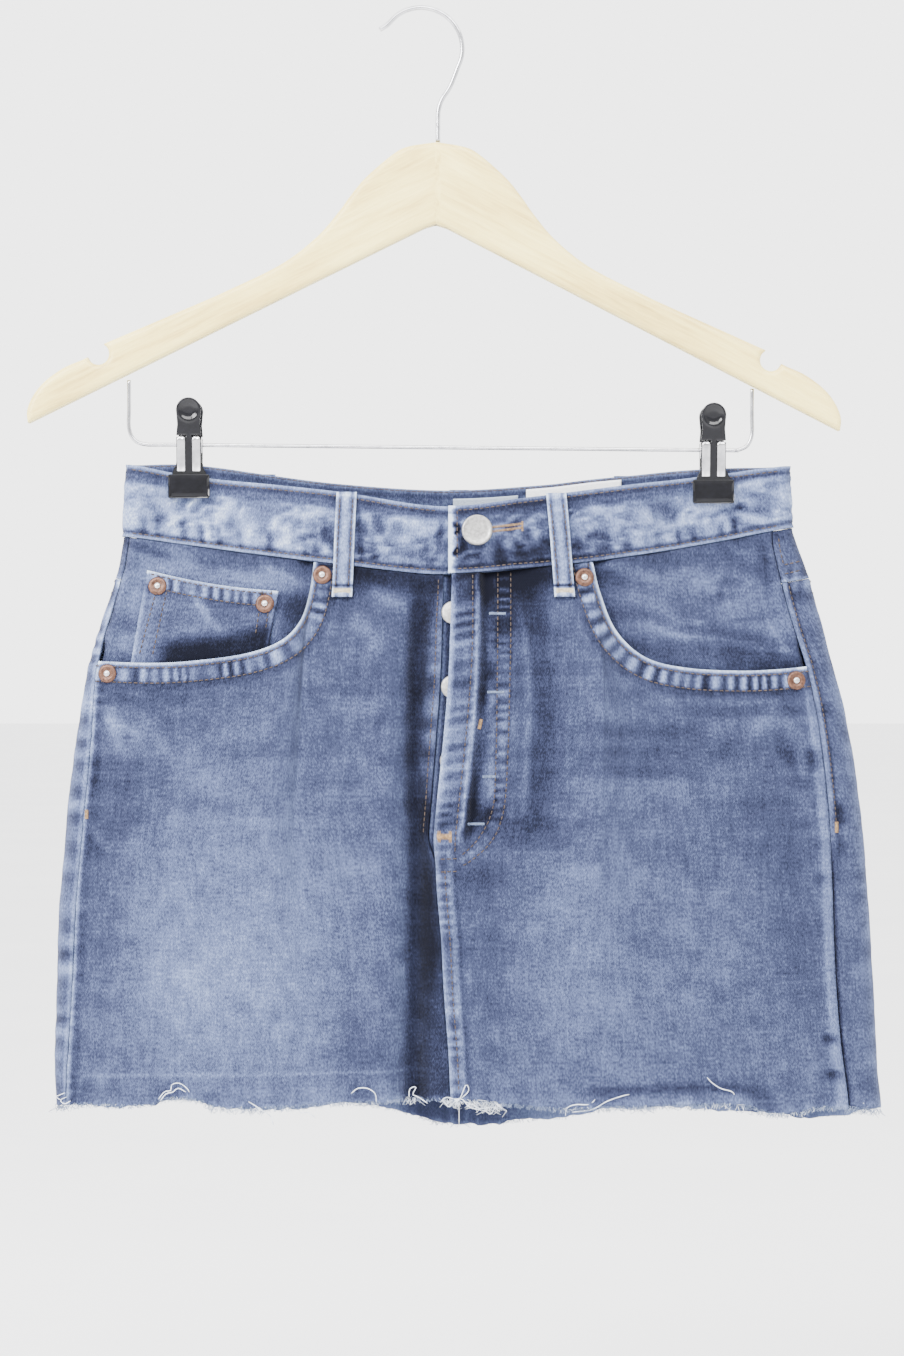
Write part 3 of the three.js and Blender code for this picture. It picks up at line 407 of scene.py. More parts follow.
# Pale worn streaks and soft creases across the panels: ends, half width, lightening and height
STREAK_COLUMNS = "x z end_x end_z width fade relief"
FRONT_STREAKS = table(
    STREAK_COLUMNS,
    (-168, -418, -70, -424, 6.0, 0.05, 0.35),
    (-150, -440, -40, -446, 5.0, 0.06, 0.3),
    (-120, -462, -22, -470, 9.0, 0.05, 0.3),
    (-176, -385, -148, -400, 3.0, 0.12, 0.5),
    (-168, -372, -140, -388, 4.0, -0.08, -0.4),
    (-40, -330, -18, -352, 5.0, 0.10, 0.6),
    (-30, -318, -6, -328, 4.0, 0.12, 0.7),
    (74, -392, 150, -386, 7.0, 0.06, 0.3),
    (70, -420, 170, -428, 8.0, 0.07, 0.35),
    (78, -372, 120, -392, 5.0, 0.05, 0.3),
    (150, -398, 208, -392, 6.0, 0.05, 0.4),
    (196, -400, 210, -430, 4.0, -0.10, -0.5),
    (62, -470, 150, -482, 10.0, 0.04, 0.3),
    (-190, -470, -120, -480, 8.0, 0.04, 0.3),
    (-187, -440, -174, -459, 2.6, 0.15, 0.7),
    (-184, -446, -172, -466, 3.0, -0.10, -0.5),
    (-172, -378, -158, -412, 3.0, 0.09, 0.5),
    (-160, -374, -134, -414, 4.0, 0.05, 0.4),
    (-150, -372, -128, -384, 3.0, -0.07, -0.4),
    (196, -378, 180, -404, 4.0, 0.07, 0.4),
    (204, -404, 212, -440, 3.0, 0.08, 0.5),
    (100, -540, 190, -556, 12.0, 0.03, 0.3),
    (-150, -530, -60, -540, 12.0, 0.03, 0.3))
BACK_STREAKS = table(
    STREAK_COLUMNS,
    (-150, -430, -50, -440, 8.0, 0.06, 0.4),
    (60, -420, 180, -432, 9.0, 0.06, 0.4),
    (-120, -470, 0, -480, 10.0, 0.05, 0.3),
    (40, -500, 170, -512, 10.0, 0.05, 0.3),
    (-170, -520, -60, -536, 12.0, 0.04, 0.3),
    (-30, -380, 10, -400, 6.0, 0.08, 0.5),
    (30, -400, 70, -384, 6.0, 0.08, 0.5))


# Broad zones of the front made lighter or darker: centre, half widths and lightening
TONE_ZONES = table(
    "x z wide high fade",
    (-108, -520, 64, 70, 0.165),
    (-178, -395, 14, 22, 0.06),
    (33, -440, 9, 9, -0.22),
    (49, -396, 8, 30, 0.06),
    (46, -332, 7, 10, -0.10),
    (8, -330, 10, 16, -0.10),
    (-176, -425, 26, 46, -0.07),
    (-130, -384, 70, 14, -0.05),
    (-40, -314, 16, 18, -0.19),
    (-100, -357, 16, 12, -0.10),
    (-172, -500, 16, 60, -0.07),
    (-34, -566, 12, 22, -0.10),
    (-155, -426, 18, 14, -0.07),
    (32, -428, 30, 14, -0.08),
    (8, -445, 8, 10, -0.22),
    (8, -512, 8, 14, -0.10),
    (30, -360, 34, 26, -0.09),
    (188, -452, 34, 26, -0.06),
    (-30, -352, 26, 40, -0.05),
    (140, -398, 74, 34, -0.085),
    (205, -500, 16, 62, -0.07),
    (82, -530, 32, 62, 0.065),
    (150, -545, 50, 40, 0.02),
    (38, -506, 12, 42, -0.07),
    (54, -448, 20, 13, -0.13),
    (30, -476, 12, 10, -0.12),
    (54, -322, 12, 24, -0.14),
    (8, -396, 10, 60, -0.02),
    (54, -403, 13, 15, -0.07),
    (21, -446, 13, 9, -0.09),
    (-143, -424, 30, 13, -0.055),
    (131, -357, 22, 8, -0.06))
WHISKER_TOP, WHISKER_LOW = -368, -462


# Forms: the height and the lightening of the cloth at each place, kept together as a pair
def both(relief, fade):
    return np.array(np.broadcast_arrays(relief, fade), float)


WANDER, WANDER_LENGTH, WANDER_SEED = 2.5, 22, 40


def streaks(rows, x, z):
    total = 0.0
    for index, (ax, az, bx, bz, width, fade, relief) in enumerate(zip(*rows.values())):
        dx, dz = bx - ax, bz - az
        length = math.hypot(dx, dz)
        t = np.clip(((x - ax) * dx + (z - az) * dz) / length ** 2, -0.3, 1.3)
        across = ((x - ax) * dz - (z - az) * dx) / length
        across = across + WANDER * noise(t * length / WANDER_LENGTH, 0 * t, WANDER_SEED + index)
        gain = ramp(t, -0.15, 0.25) * ramp(t, 1.15, 0.75) * bump(across, 0, width)
        total = total + both(relief * gain, fade * gain)
    return total


# Soft ridges and grooves beside an edge or seam, by distance from it
# Where fade is negative it darkens: below the waistband it is painted shadow; in valleys, grooves, stitch
# rows and by the fly's lower edge it is painted shade; just beyond seams and rows it is partly unfaded dye
# and partly painted shade.
RIDGE_ROWS = {
    # left_seam: a light worn seam edge; darker beyond it, partly unfaded dye and partly painted shade
    "left_seam": ((0, 2.2, 0.35, 0), (0.5, 1.3, 0, 0.30), (4, 2.5, 0, -0.1)),
    "left_fly_lit": ((4.5, 4, 0.7, 0), (5, 4.5, 0, 0.2)),
    "left_fly_rim": ((0.6, 1, 0, 0.16),),
    "left_fly_shade": ((3, 6, 0, -0.20),),
    # left_under_band: painted shadow below the waistband, over a shallow dent
    "left_under_band": ((3, 4, -0.5, 0), (4, 7, 0, -0.28)),
    "right_seam": ((3.2, 3.2, 0.45, 0), (4.2, 2, 0, 0.2), (1.2, 1.4, 0, 0.12)),
    "placket_edge": ((0.3, 1.5, 0, 0.46),),
    "placket_ridge": ((0, 1.2, 0.35, 0), (-0.4, 1.3, 0, 0.36)),
    # placket_row: a groove at the stitch row, with painted shade in it
    "placket_row": ((0, 0.8, -0.3, 0), (0, 1, 0, -0.08)),
    # sewn_row: a groove at a stitch row, with painted shade in it
    "sewn_row": ((0, 0.8, -0.28, -0.10),),
    "fly_ridge": ((0, 3, 0.8, 0), (0, 2.6, 0, 0.13)),
    # fly_valley: a valley beside the fly, with painted shade in it
    "fly_valley": ((0, 5, -0.8, 0), (0, 9, 0, -0.14)),
    "centre_groove": ((4.6, 0.6, -0.22, 0),),
    # right_under_band: painted shadow below the waistband, over a shallow dent
    "right_under_band": ((2, 3, -0.6, 0), (4, 8, 0, -0.32)),
    # beside_fly: painted shadow below the waistband, beside the fly
    "beside_fly": ((38, 16, 0, -0.16),),
    # hem_curl: a raised curl at the hem and a groove above it, with painted shade in the groove
    "hem_curl": ((1, 4.5, 1.6, 0), (9.5, 3, -1.1, 0), (9, 2.6, 0, -0.16)),
    "hem": ((0, 2.2, 0, 0.08),),
    "old_hem": ((0, 0.9, 0, 0.10),),
    # edge_seam: light worn edges; darker outside the strip, partly unfaded dye and partly painted shade
    "edge_seam": ((0.4, 1.2, 0, 0.34), (7.3, 1.2, 0, 0.22), (-2.2, 1.8, 0, -0.14), (9.8, 1.8, 0, -0.12)),
    "back_centre": ((0, 4.5, 0.5, 0), (4.6, 1.3, 0, 0.22)),
    # back_yoke: darker just below the yoke seam, partly unfaded dye and partly painted shade
    "back_yoke": ((0, 4, 0.4, 0), (8, 3, 0, -0.1)),
    "back_left_seam": ((3, 3.5, 0.3, 0), (0.6, 1.2, 0, 0.24)),
    # back_right_low: a groove along the seam, with painted shade in it
    "back_right_low": ((0, 1.6, -0.5, 0), (0, 1.5, 0, -0.34)),
    # back_right_high: a raised light edge, and a groove beside it with painted shade in it
    "back_right_high": ((1.2, 1.5, 0.6, 0), (3.8, 1.4, -0.5, 0), (1.1, 1.1, 0, 0.36), (3.8, 1.3, 0, -0.18)),
    "back_fold": ((0, 4, 0, 0.10),),
    "yoke_seam": ((0, 3, 0.3, 0), (0.4, 1.2, 0, 0.3)),
    # yoke_under_band: painted shadow below the waistband, over a shallow dent
    "yoke_under_band": ((2, 3, -0.3, 0), (3, 4, 0, -0.14)),
    # facing_under_band: painted shadow just below the waistband
    "facing_under_band": ((1.2, 1.6, 0, -0.09),),
    "coin_left": ((1.5, 2.5, 0.3, 0), (0.3, 1.2, 0, 0.3)),
    "coin_right": ((1.5, 2.5, 0.3, 0), (0.3, 1.2, 0, 0.26)),
    "underlap_edge": ((0.5, 1, 0, 0.16),),
    # band_low and band_top: grooves at the rows and light worn edges; darker just beyond the rows, partly
    # unfaded dye and partly painted shade
    "band_low": ((2.3, 0.8, -0.4, 0), (0.4, 1.4, 0, 0.30), (3.3, 0.9, 0, -0.16)),
    "band_top": ((2.5, 0.8, -0.4, 0), (0.3, 1.5, 0, 0.34), (3.6, 1, 0, -0.16)),
    "band_end": ((1.5, 2.5, 0.3, 0), (0.8, 2.4, 0, 0.7)),
    # loop: grooves at the rows with painted shade beside them, and light worn edges and middle
    "loop": ((3.6, 0.7, -0.25, 0), (5.2, 1.3, 0, 0.26), (3.3, 0.9, 0, -0.20), (0, 2, 0, 0.12)),
    # A dark line across the loop above the bar tack: painted shade, with no dent in the shape.
    "loop_groove_shade": ((6.2, 0.8, 0, -0.5),)}
RIDGES = {name: table("centre width relief fade", *rows) for name, rows in RIDGE_ROWS.items()}


def ridge(name, distance):
    rows = RIDGES[name]
    profile = bump(np.asarray(distance, float)[..., None], rows["centre"], rows["width"])
    return both(profile @ rows["relief"], profile @ rows["fade"])


# Sewn edges: a doubled edge with rows of stitches, puckered between them
def bars(arc, seed, pitch):
    drift = 4.5 * noise(arc / (4 * pitch), 0 * arc, seed)
    return np.sin(arc * 3.0 / pitch + drift) * (0.7 + 0.6 * noise(arc / (2.4 * pitch), 0 * arc, seed + 3))


ROW_INNER, ROW_OUTER = 2.7, 11.0
COIN_ROW_INNER, COIN_ROW_OUTER, COIN_EDGE_STRENGTH = 1.6, 8.6, 0.95
FLY_STRIP = 7.6


def sewn_edge(d, arc, seed, inner=ROW_INNER, outer=ROW_OUTER):
    pucker = bars(arc, seed, 3.3) * between(d, inner + 0.4, outer - 0.4, 1.2)
    rows = bump(d, inner, 0.7) + bump(d, outer, 0.7)
    relief = 0.45 * between(d, -2, outer + 0.8, 1.2) + 0.28 * pucker - 0.3 * rows
    fade = 0.46 * bump(d, 0.3, 1.3) + 0.08 * between(d, -2, outer, 1.5) + 0.27 * pucker
    # Darker just beyond the outer row: partly unfaded dye, partly painted shade.
    fade = fade - 0.08 * between(d, outer + 0.6, outer + 4, 2)
    # Darker at both stitch rows: painted shade in their grooves.
    return both(relief, fade - 0.15 * bump(d, inner, 0.9) - 0.17 * bump(d, outer, 0.9))


def ridge_seam(d, arc, seed):
    inside = between(d, 0, FLY_STRIP, 1.2)
    pucker = bars(arc, seed, 3.4) * inside
    return both(0.75 * inside + 0.3 * pucker, 0.17 * pucker) + ridge("edge_seam", d)


# Lighter and darker zones of the front, and faint whisker lines between two levels.
def zone_tones(x, z):
    total = 0.0
    for zone_x, zone_z, wide, high, fade in zip(*TONE_ZONES.values()):
        total = total + fade * bump(x, zone_x, wide) * bump(z, zone_z, high)
    whiskers = noise(x / 55 + 0.3 * noise(x / 20, z / 20, 131), z / 5.5, 132)
    return both(0, total + 0.05 * whiskers * between(z, WHISKER_LOW, WHISKER_TOP, 30))


def worn(x, z, seed):
    """Shallow buckles and rubbed patches all over a panel."""
    wide = rough(x / 34 + z / 90, z / 46, seed)
    small = rough(x / 9, z / 12, seed + 3)
    rubbed = creased(x / 40 + z / 60, z / 9, seed + 6)
    return both(0.55 * wide + 0.16 * small + 0.12 * rubbed, 0.015 * wide + 0.022 * small + 0.018 * rubbed)


def below_band(x, z):
    return follow(BAND, "x", x, "front_low") - z


def front_form(x, z, seed, scoop, edge_seed):
    """What both front panels have: wear, broad lighter and darker zones, streaks, the scooped pocket edge and
    the torn hem.
    """
    d, arc = scoop.measure(x, z)
    total = worn(x, z, seed) + zone_tones(x, z) + streaks(FRONT_STREAKS, x, z) + hem_form(x, z, "front")
    return total + ramp(-d, 26, 18) * sewn_edge(-d, arc, edge_seed)


def front_left_form(x, z, phi):
    total = front_form(x, z, 101, scoop_left, 11)
    seam = x - seam_x("left", z)
    pucker = bars(-z, 15, 4.0)
    total += ridge("left_seam", seam) + pucker * both(0.25 * bump(seam, 1.0, 3.5), 0.09 * bump(seam, 2, 4))
    d, _ = valley_line.measure(x, z)
    # The fold valley beside the fly: a sunk line, with painted shade across the valley.
    valley = both(-1.6 * bump(d, 0.5, 5.0), -0.29 * ramp(d, -6.0, 1.5) * ramp(d, 17, 6))
    total += ramp(z, -312, -330) * valley
    edge = left_front_edge(z) - x
    wavy = both(0, 0.12 * bars(-z, 18, 7.0) * bump(edge, 4, 4))
    total += between(z, -425, -330, 24) * (ridge("left_fly_lit", edge) + wavy)
    total += ramp(z, -470, -455) * ridge("left_fly_rim", edge)
    total += ramp(z, -455, -480) * ridge("left_fly_shade", edge)
    # Painted shadow below the waistband, beside the fly.
    return total + ramp(x, -46, -36) * ridge("left_under_band", below_band(x, z))


TUCK_LEVELS = ((-563.6, 2.6), (-582.5, 2.8))
RIDGE_SHADOWS = ((-316, 16), (-372, 20), (-432, 18))


def placket_form(x, z):
    """The fly's edge, its ridge and the worn strip between them, above the end of the opening."""
    d = x - fly_edge(z)
    d_ridge, _ = fly_ridge.measure(x, z)
    lines = bars(-z + 0.2 * d, 24, 3.6)
    worn_strip = both(0.25 * lines, 0.07 + 0.15 * rough(-z / 9, d / 30, 23) + 0.13 * lines)
    deep = sum(bump(z, level, reach) for level, reach in RIDGE_SHADOWS)
    shadow = both(-0.7 * bump(d_ridge, 4.0, 2.2), -(0.06 + 0.22 * deep) * bump(d_ridge, 4.0, 3.2))
    total = between(d, 1.5, 13.5, 2) * worn_strip + ridge("placket_edge", d)
    return ramp(z, -462, -452) * (total + ridge("placket_ridge", d_ridge) + shadow)


def j_form(x, z):
    """The curved double row of stitches beside the fly, puckered between and mottled inside."""
    d_in, arc_in = j_inner.measure(x, z)
    d_out, _ = j_outer.measure(x, z)
    pucker = bars(arc_in, 27, 3.0) * (1 - 0.5 * ramp(z, -436, -452))
    total = ramp(d_in, -0.6, 0.6) * ramp(d_out, 0.6, -0.6) * both(0.28 * pucker - 0.1, 0.22 * pucker + 0.045)
    total += ridge("sewn_row", d_in) + ridge("sewn_row", d_out)
    d = x - fly_edge(z)
    mottled = both(0.4 * rough(-z / 8, d / 14, 29), 0.02 + 0.26 * rough(-z / 7, d / 9, 29))
    return total + ramp(d_in, 0.6, -1.0) * ramp(d, 18.5, 21) * ramp(z, -456, -446) * mottled


def front_right_form(x, z, phi):
    total = front_form(x, z, 111, scoop_right, 21) + placket_form(x, z) + j_form(x, z)
    seam = seam_x("right", z) - x
    tucks = 0.6 * ramp(noise(-z / 8.5, 0 * z, 34), 0.15, 0.6) * bump(seam, 6.0, 3.6) * ramp(z, -520, -480)
    tucks = tucks + sum(bump(z, level, reach) for level, reach in TUCK_LEVELS) * bump(seam, 6.0, 4.2)
    total += ridge("right_seam", seam) - both(0.6 * tucks, 0.34 * tucks)
    # Painted shade in the groove of the placket's stitch row.
    total += ridge("placket_row", fly_row.measure(x, z)[0])
    total += between(z, -440, -330, 20) * ridge("fly_ridge", right_ridge.measure(x, z)[0])
    # Painted shade in the valley beside the fly.
    total += between(z, -450, -300, 40) * ridge("fly_valley", right_valley.measure(x, z)[0])
    d = x - fly_edge(z)
    total += ramp(z, -452, -464) * (ridge_seam(d, -z, 31) + ridge("centre_groove", d))
    below = below_band(x, z)
    # Painted shadow below the waistband, and beside the fly below it.
    total += ramp(x, 96, 84) * ridge("right_under_band", below) + ramp(below, 60, 8) * ridge("beside_fly", x)
    # The curled hem, with painted shade in the groove above it.
    return total + between(x, 88, 186, 26) * ridge("hem_curl", z - follow(HEM, "x", x, "front"))


def hem_form(x, z, face):
    up = z - follow(HEM, "x", x, face)
    wave = noise(x / 17, 0 * x, 35) * 1.5 + noise(x / 7, 0 * x, 36) * 0.5
    tufts = ramp(noise(x / 2.6, up / 3.0, 37), 0.0, 0.7) * bump(up, 0, 4.0)
    total = both(wave * ramp(up, 26, 0), 0.13 * tufts + 0.05 * wave * ramp(up, 16, 2)) + ridge("hem", up)
    if face == "front":
        total += ridge("old_hem", old_hem.measure(x, z)[0])
    return total


def back_form(x, z, phi):
    total = worn(x, z, 121) + streaks(BACK_STREAKS, x, z) + hem_form(x, z, "back")
    on_front = np.cos(phi) >= 0
    centre = np.abs(x - CENTRE_BACK)
    pucker = bars(-z, 51, 3.6) * bump(centre, 0, 5)
    total += ridge("back_centre", centre) + both(0.18 * pucker, 0.13 * pucker)
    yoke = follow(YOKE_SEAM, "x", x, "z") - z
    pucker = bars(x, 52, 3.2) * bump(yoke, 2, 4)
    shown = np.where(on_front, ramp(yoke, -1, 1), 1.0)
    total += shown * (ridge("back_yoke", yoke) + both(0.15 * pucker, 0.16 * pucker))
    away = np.where(on_front, np.abs(x - seam_x("left", z)), 99)
    blobs = bars(-z, 55, 7.0) * bump(away, 4.5, 4.5)
    total += ridge("back_left_seam", away) + both(0.25 * blobs, 0.17 * blobs)
    away = np.where(on_front, np.abs(x - seam_x("right", z)), 99)
    high = ramp(z, -480, -440)
    # Spots beside the seam on its upper part, sunk in and darker.
    dent_spots = ramp(noise(-z / 11, 0 * z, 56), -0.05, 0.5)
    dark_dents = both(0.4 * dent_spots * bump(away, 6, 4), 0.26 * dent_spots * bump(away, 5.5, 4))
    total += (1 - high) * ridge("back_right_low", away) + high * (ridge("back_right_high", away) - dark_dents)
    left, right, _, _ = section(z)
    fold = np.minimum(x - left, right - x)
    return total + ridge("back_fold", fold) + both(0, 0.07 * bars(-z, 58, 9.0) * bump(fold, 0, 8))


def yoke_form(x, z, phi):
    below = band_edge(x, np.cos(phi) >= 0, "low") - z
    seam = z - follow(YOKE_SEAM, "x", x, "z")
    pucker = bars(x, 61, 3.4)
    puckered = both(0.18 * pucker * bump(seam, 3, 4), 0.16 * pucker * bump(seam, 4, 4))
    mottled = both(0, 0.06 * rough(x / 14, z / 10, 62))
    # yoke_under_band is a painted shadow below the waistband.
    return ridge("yoke_seam", seam) + ridge("yoke_under_band", below) + puckered + mottled


FACING_STREAKS = table(
    STREAK_COLUMNS,
    (167, -334.7, 190, -331.3, 0.9, -0.16, -0.5),
    (164.6, -327.3, 183.5, -319.1, 2.0, 0.10, 0.5),
    (170, -311, 162, -323, 2.4, -0.08, -0.4),
    (190, -335, 202, -354, 2.0, 0.12, 0.6),
    (186, -343, 194, -357, 2.6, -0.10, -0.4),
    (187, -291, 191, -324, 2.2, -0.12, -0.4),
    (112, -312, 160, -306, 4.0, 0.06, 0.4),
    (118, -338, 150, -346, 2.6, 0.08, 0.4),
    (-159, -292, -135.5, -299.2, 2.2, -0.15, -0.5),
    (-135, -303.5, -86, -310, 2.6, 0.06, 0.3),
    (-86, -304, -68, -314, 2.0, 0.10, 0.4))


def facing_form(x, z, phi):
    creases = 0.6 * rough(x / 26 + z / 40, z / 15, 65) + 0.6 * creased(x / 30 + z / 26, z / 11, 66)
    nearest = np.minimum(np.abs(scoop_left.measure(x, z)[0]), np.abs(scoop_right.measure(x, z)[0]))
    # The last term darkens along both scoop edges: painted shade under the front panel's edge.
    fade = 0.12 * creases - 0.04 + 0.08 * ramp(x, 0, -20) - 0.13 * bump(nearest, 0, 9)
    # Painted shadow between the coin pocket and the scoop edge.
    fade = fade - 0.17 * bump(x, -68, 9) * bump(z, -334, 14)
    total = both(0.5 * creases, fade) + streaks(FACING_STREAKS, x, z)
    # Painted shadow just below the waistband.
    return total + ridge("facing_under_band", below_band(x, z))


def coin_form(x, z, phi):
    top = follow(COIN_TOP, "x", np.clip(x, COIN_TOP_LEFT, COIN_TOP_RIGHT), "z") - z
    t = np.clip((COIN_TOP["z"][0] - z) / (COIN_TOP["z"][0] - COIN_LOW), 0, 1)
    left = x - mix(COIN_TOP_LEFT, COIN_LOW_LEFT, t)
    right = mix(COIN_TOP_RIGHT, COIN_LOW_RIGHT, t) - x
    crease = np.abs((x + 118) - (z + 330) * -0.75)
    high = 0.5 * bump(crease, 0, 3.0) * between(z, -342, -324, 8)
    pale = 0.16 * bump(crease, 0, 3.2) * between(z, -342, -322, 8)
    scoop, _ = scoop_left.measure(x, z)
    pale = pale + 0.06 * between(left, 1, 8, 1) + 0.07 * rough(x / 12, z / 9, 72)
    total = COIN_EDGE_STRENGTH * sewn_edge(top, x, 71, COIN_ROW_INNER, COIN_ROW_OUTER)
    total += ridge("coin_left", left) + ridge("coin_right", right)
    # The right of the coin pocket near the scoop edge darkens: painted shade in the gap beside the scoop.
    return total + both(high, pale - 0.42 * ramp(scoop, 17, 6) * ramp(left, 10, 22))


def underlap_form(x, z, phi):
    d = x - (fly_edge(z) - UNDERLAP_LEFT)
    return both(0.15 * bars(-z, 75, 5), -0.25 * ramp(d, 1.5, 4)) + ridge("underlap_edge", d)


BAND_STREAKS = table(
    STREAK_COLUMNS,
    (-152, -269, -139, -273.5, 2.4, -0.16, -0.7),
    (-98.7, -269, -99.5, -276, 1.6, -0.13, -0.5),
    (-93, -276, -87, -278.5, 2.0, -0.11, -0.4),
    (-79, -267.5, -77.5, -272, 1.6, -0.11, -0.4),
    (-68, -268.5, -62, -272, 1.8, -0.14, -0.5),
    (-69, -279, -66, -285, 2.0, -0.11, -0.4),
    (-100, -281, -98, -286, 1.4, -0.12, -0.4),
    (-60, -281, -58.5, -292, 2.0, -0.15, -0.5),
    (-51, -276, -51, -296, 2.2, -0.24, -0.6),
    (-84, -286, -70, -291, 4.5, 0.07, 0.4),
    (-140, -283, -108, -286, 5.0, 0.06, 0.3),
    (-32.5, -272, -32.5, -300, 2.0, -0.24, -0.5),
    (-28, -277, -19, -298, 1.6, 0.11, 0.5),
    (-22, -280, -17, -296, 2.4, -0.08, -0.3),
    (-22, -297, -4, -299, 5.0, 0.11, 0.6),
    (-24, -278, 2, -283, 3.0, 0.07, 0.5),
    (-6, -286, 4, -294, 2.0, -0.10, -0.4),
    (10.6, -276, 10.6, -300, 2.2, -0.20, -0.4),
    (20, -283, 24, -300, 2.0, -0.30, -0.3),
    (60, -279, 66, -296, 2.4, 0.18, 0.8),
    (52, -292, 64, -301, 2.2, 0.12, 0.4),
    (44, -294, 52, -299, 2.4, 0.14, 0.5),
    (86, -270, 112, -283, 2.6, 0.17, 0.9),
    (90, -281, 118, -279, 2.4, -0.17, -0.8),
    (108, -268, 140, -276, 3.0, -0.14, -0.7),
    (118, -286, 150, -279, 3.0, 0.10, 0.5),
    (163, -277, 178, -273, 2.2, -0.18, -0.7),
    (170, -264, 196, -258, 3.0, 0.12, 0.6),
    (170, -266, 196, -269, 2.4, -0.20, -0.8),
    (176, -280, 198, -276, 2.6, 0.10, 0.5))
BAND_TUCKS = (-151.3, -144, -129.5, -119, -109.4, -97.5, -81.3, -62, 129.3, 141.6, 150.2, 165.7, 172.7)
BAND_SHADES = ((1.3, -28, 24), (1.5, 62, 26), (1.5, 94, 22), (0.5, 170, 26))


def band_form(x, z, phi):
    is_front = np.cos(phi) >= 0
    side = np.where(is_front, 0, 50)
    top, low = band_edge(x, is_front, "top") - z, z - band_edge(x, is_front, "low")
    pucker = rough(x / 3.6 + z / 30 + side, z / 5.5, 81)
    wrinkle = creased(x / 10 - z / 10 + side, z / 5.5 + x / 30, 82)
    lower = bars(x + 0.2 * z + side, 83, 5.2) * between(low, 3.8, 15, 6)
    pale = 0.115 * pucker + 0.155 * wrinkle + 0.215 + 0.03 * ramp(x, -30, -60)
    total = both(0.35 * pucker + 0.55 * wrinkle, pale) + is_front * streaks(BAND_STREAKS, x, z)
    total = between(low, 3.4, 30, 4) * total + both(0.4 * lower, 0.07 * lower)
    tucks = sum(bump(x + 0.1 * low, place, 1.7) for place in BAND_TUCKS)
    tucks = is_front * tucks * between(low, 2.4, 12, 3.5)
    total += ridge("band_low", low) + ridge("band_top", top) - both(0.8 * tucks, 0.27 * tucks)
    lapped = is_front & (phi < math.pi / 2)
    beneath = is_front & (phi > math.pi)
    dark = lapped * ramp(x, 92, 66) + 0.6 * beneath * ramp(x, -20, 20)
    shade = is_front * sum(share * bump(x, place, reach) for share, place, reach in BAND_SHADES)
    sunk = 0.35 + bump(low, 9, 8)
    total -= both(0, (0.03 + 0.18 * sunk) * dark + 0.13 * sunk * shade)
    marks = ramp(noise(x / 1.6, z / 2.2, 86), 0.1, 0.5) * bump(x, 18.5, 3.0) * between(z, -301, -282, 4)
    return total + lapped * (ridge("band_end", x - BAND_START) - both(0, 0.7 * marks))


# Meshes
INNER_RELIEF, TORN_REACH, LINING_SHIFT = 0.75, 1.1, 400


def link(name, points, faces):
    mesh = bpy.data.meshes.new(name)
    mesh.from_pydata((np.asarray(points, float).reshape(-1, 3) * MM).tolist(), [], faces)
    mesh.validate()
    mesh.shade_smooth()
    piece = bpy.data.objects.new(name, mesh)
    bpy.context.scene.collection.objects.link(piece)
    return piece


def paint(piece, name, kind, values):
    attribute = piece.data.attributes.new(name, kind, "POINT")
    key = "vector" if kind == "FLOAT_VECTOR" else "value"
    attribute.data.foreach_set(key, np.asarray(values, np.float32).ravel())


def settle_piece(piece, slot, materials, *nodes):
    for material in materials:
        piece.data.materials.append(material)
    if nodes:
        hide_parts(*nodes)
    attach(piece, BODY)
    return piece


def wall_faces(columns, rows):
    """Faces of the outer side, the inner side and the rim of a thin wall over a grid."""
    count = columns * rows
    index = np.arange(count).reshape(columns, rows)
    a, b, c, d = index[:-1, :-1], index[1:, :-1], index[1:, 1:], index[:-1, 1:]
    outer = np.stack((a, b, c, d), axis=-1).reshape(-1, 4)
    inner = np.stack((a, d, c, b), axis=-1).reshape(-1, 4) + count
    rim = np.concatenate((index[:, 0], index[-1, 1:], index[-2::-1, -1], index[0, -2:0:-1]))
    following = np.roll(rim, -1)
    return outer, inner, np.stack((rim + count, following + count, following, rim), axis=-1)


def torn_edge(x):
    teeth = noise(x / 13, 0 * x, 93) + 0.6 * noise(x / 4, 0 * x, 91) + 0.4 * noise(x / 1.5, 0 * x, 92)
    return TORN_REACH * teeth


def weave_place(base, z):
    """Millimetres along the cloth from its middle column, and the level."""
    columns, rows = z.shape
    steps = np.linalg.norm(np.diff(base, axis=0), axis=-1)
    across = np.concatenate((np.zeros((1, rows)), np.cumsum(steps, axis=0)))
    middle = columns // 2
    across = across - across[middle:middle + 1] + base[middle, rows // 2, 0]
    return np.stack((across, z, 0 * z), axis=-1).reshape(-1, 3)


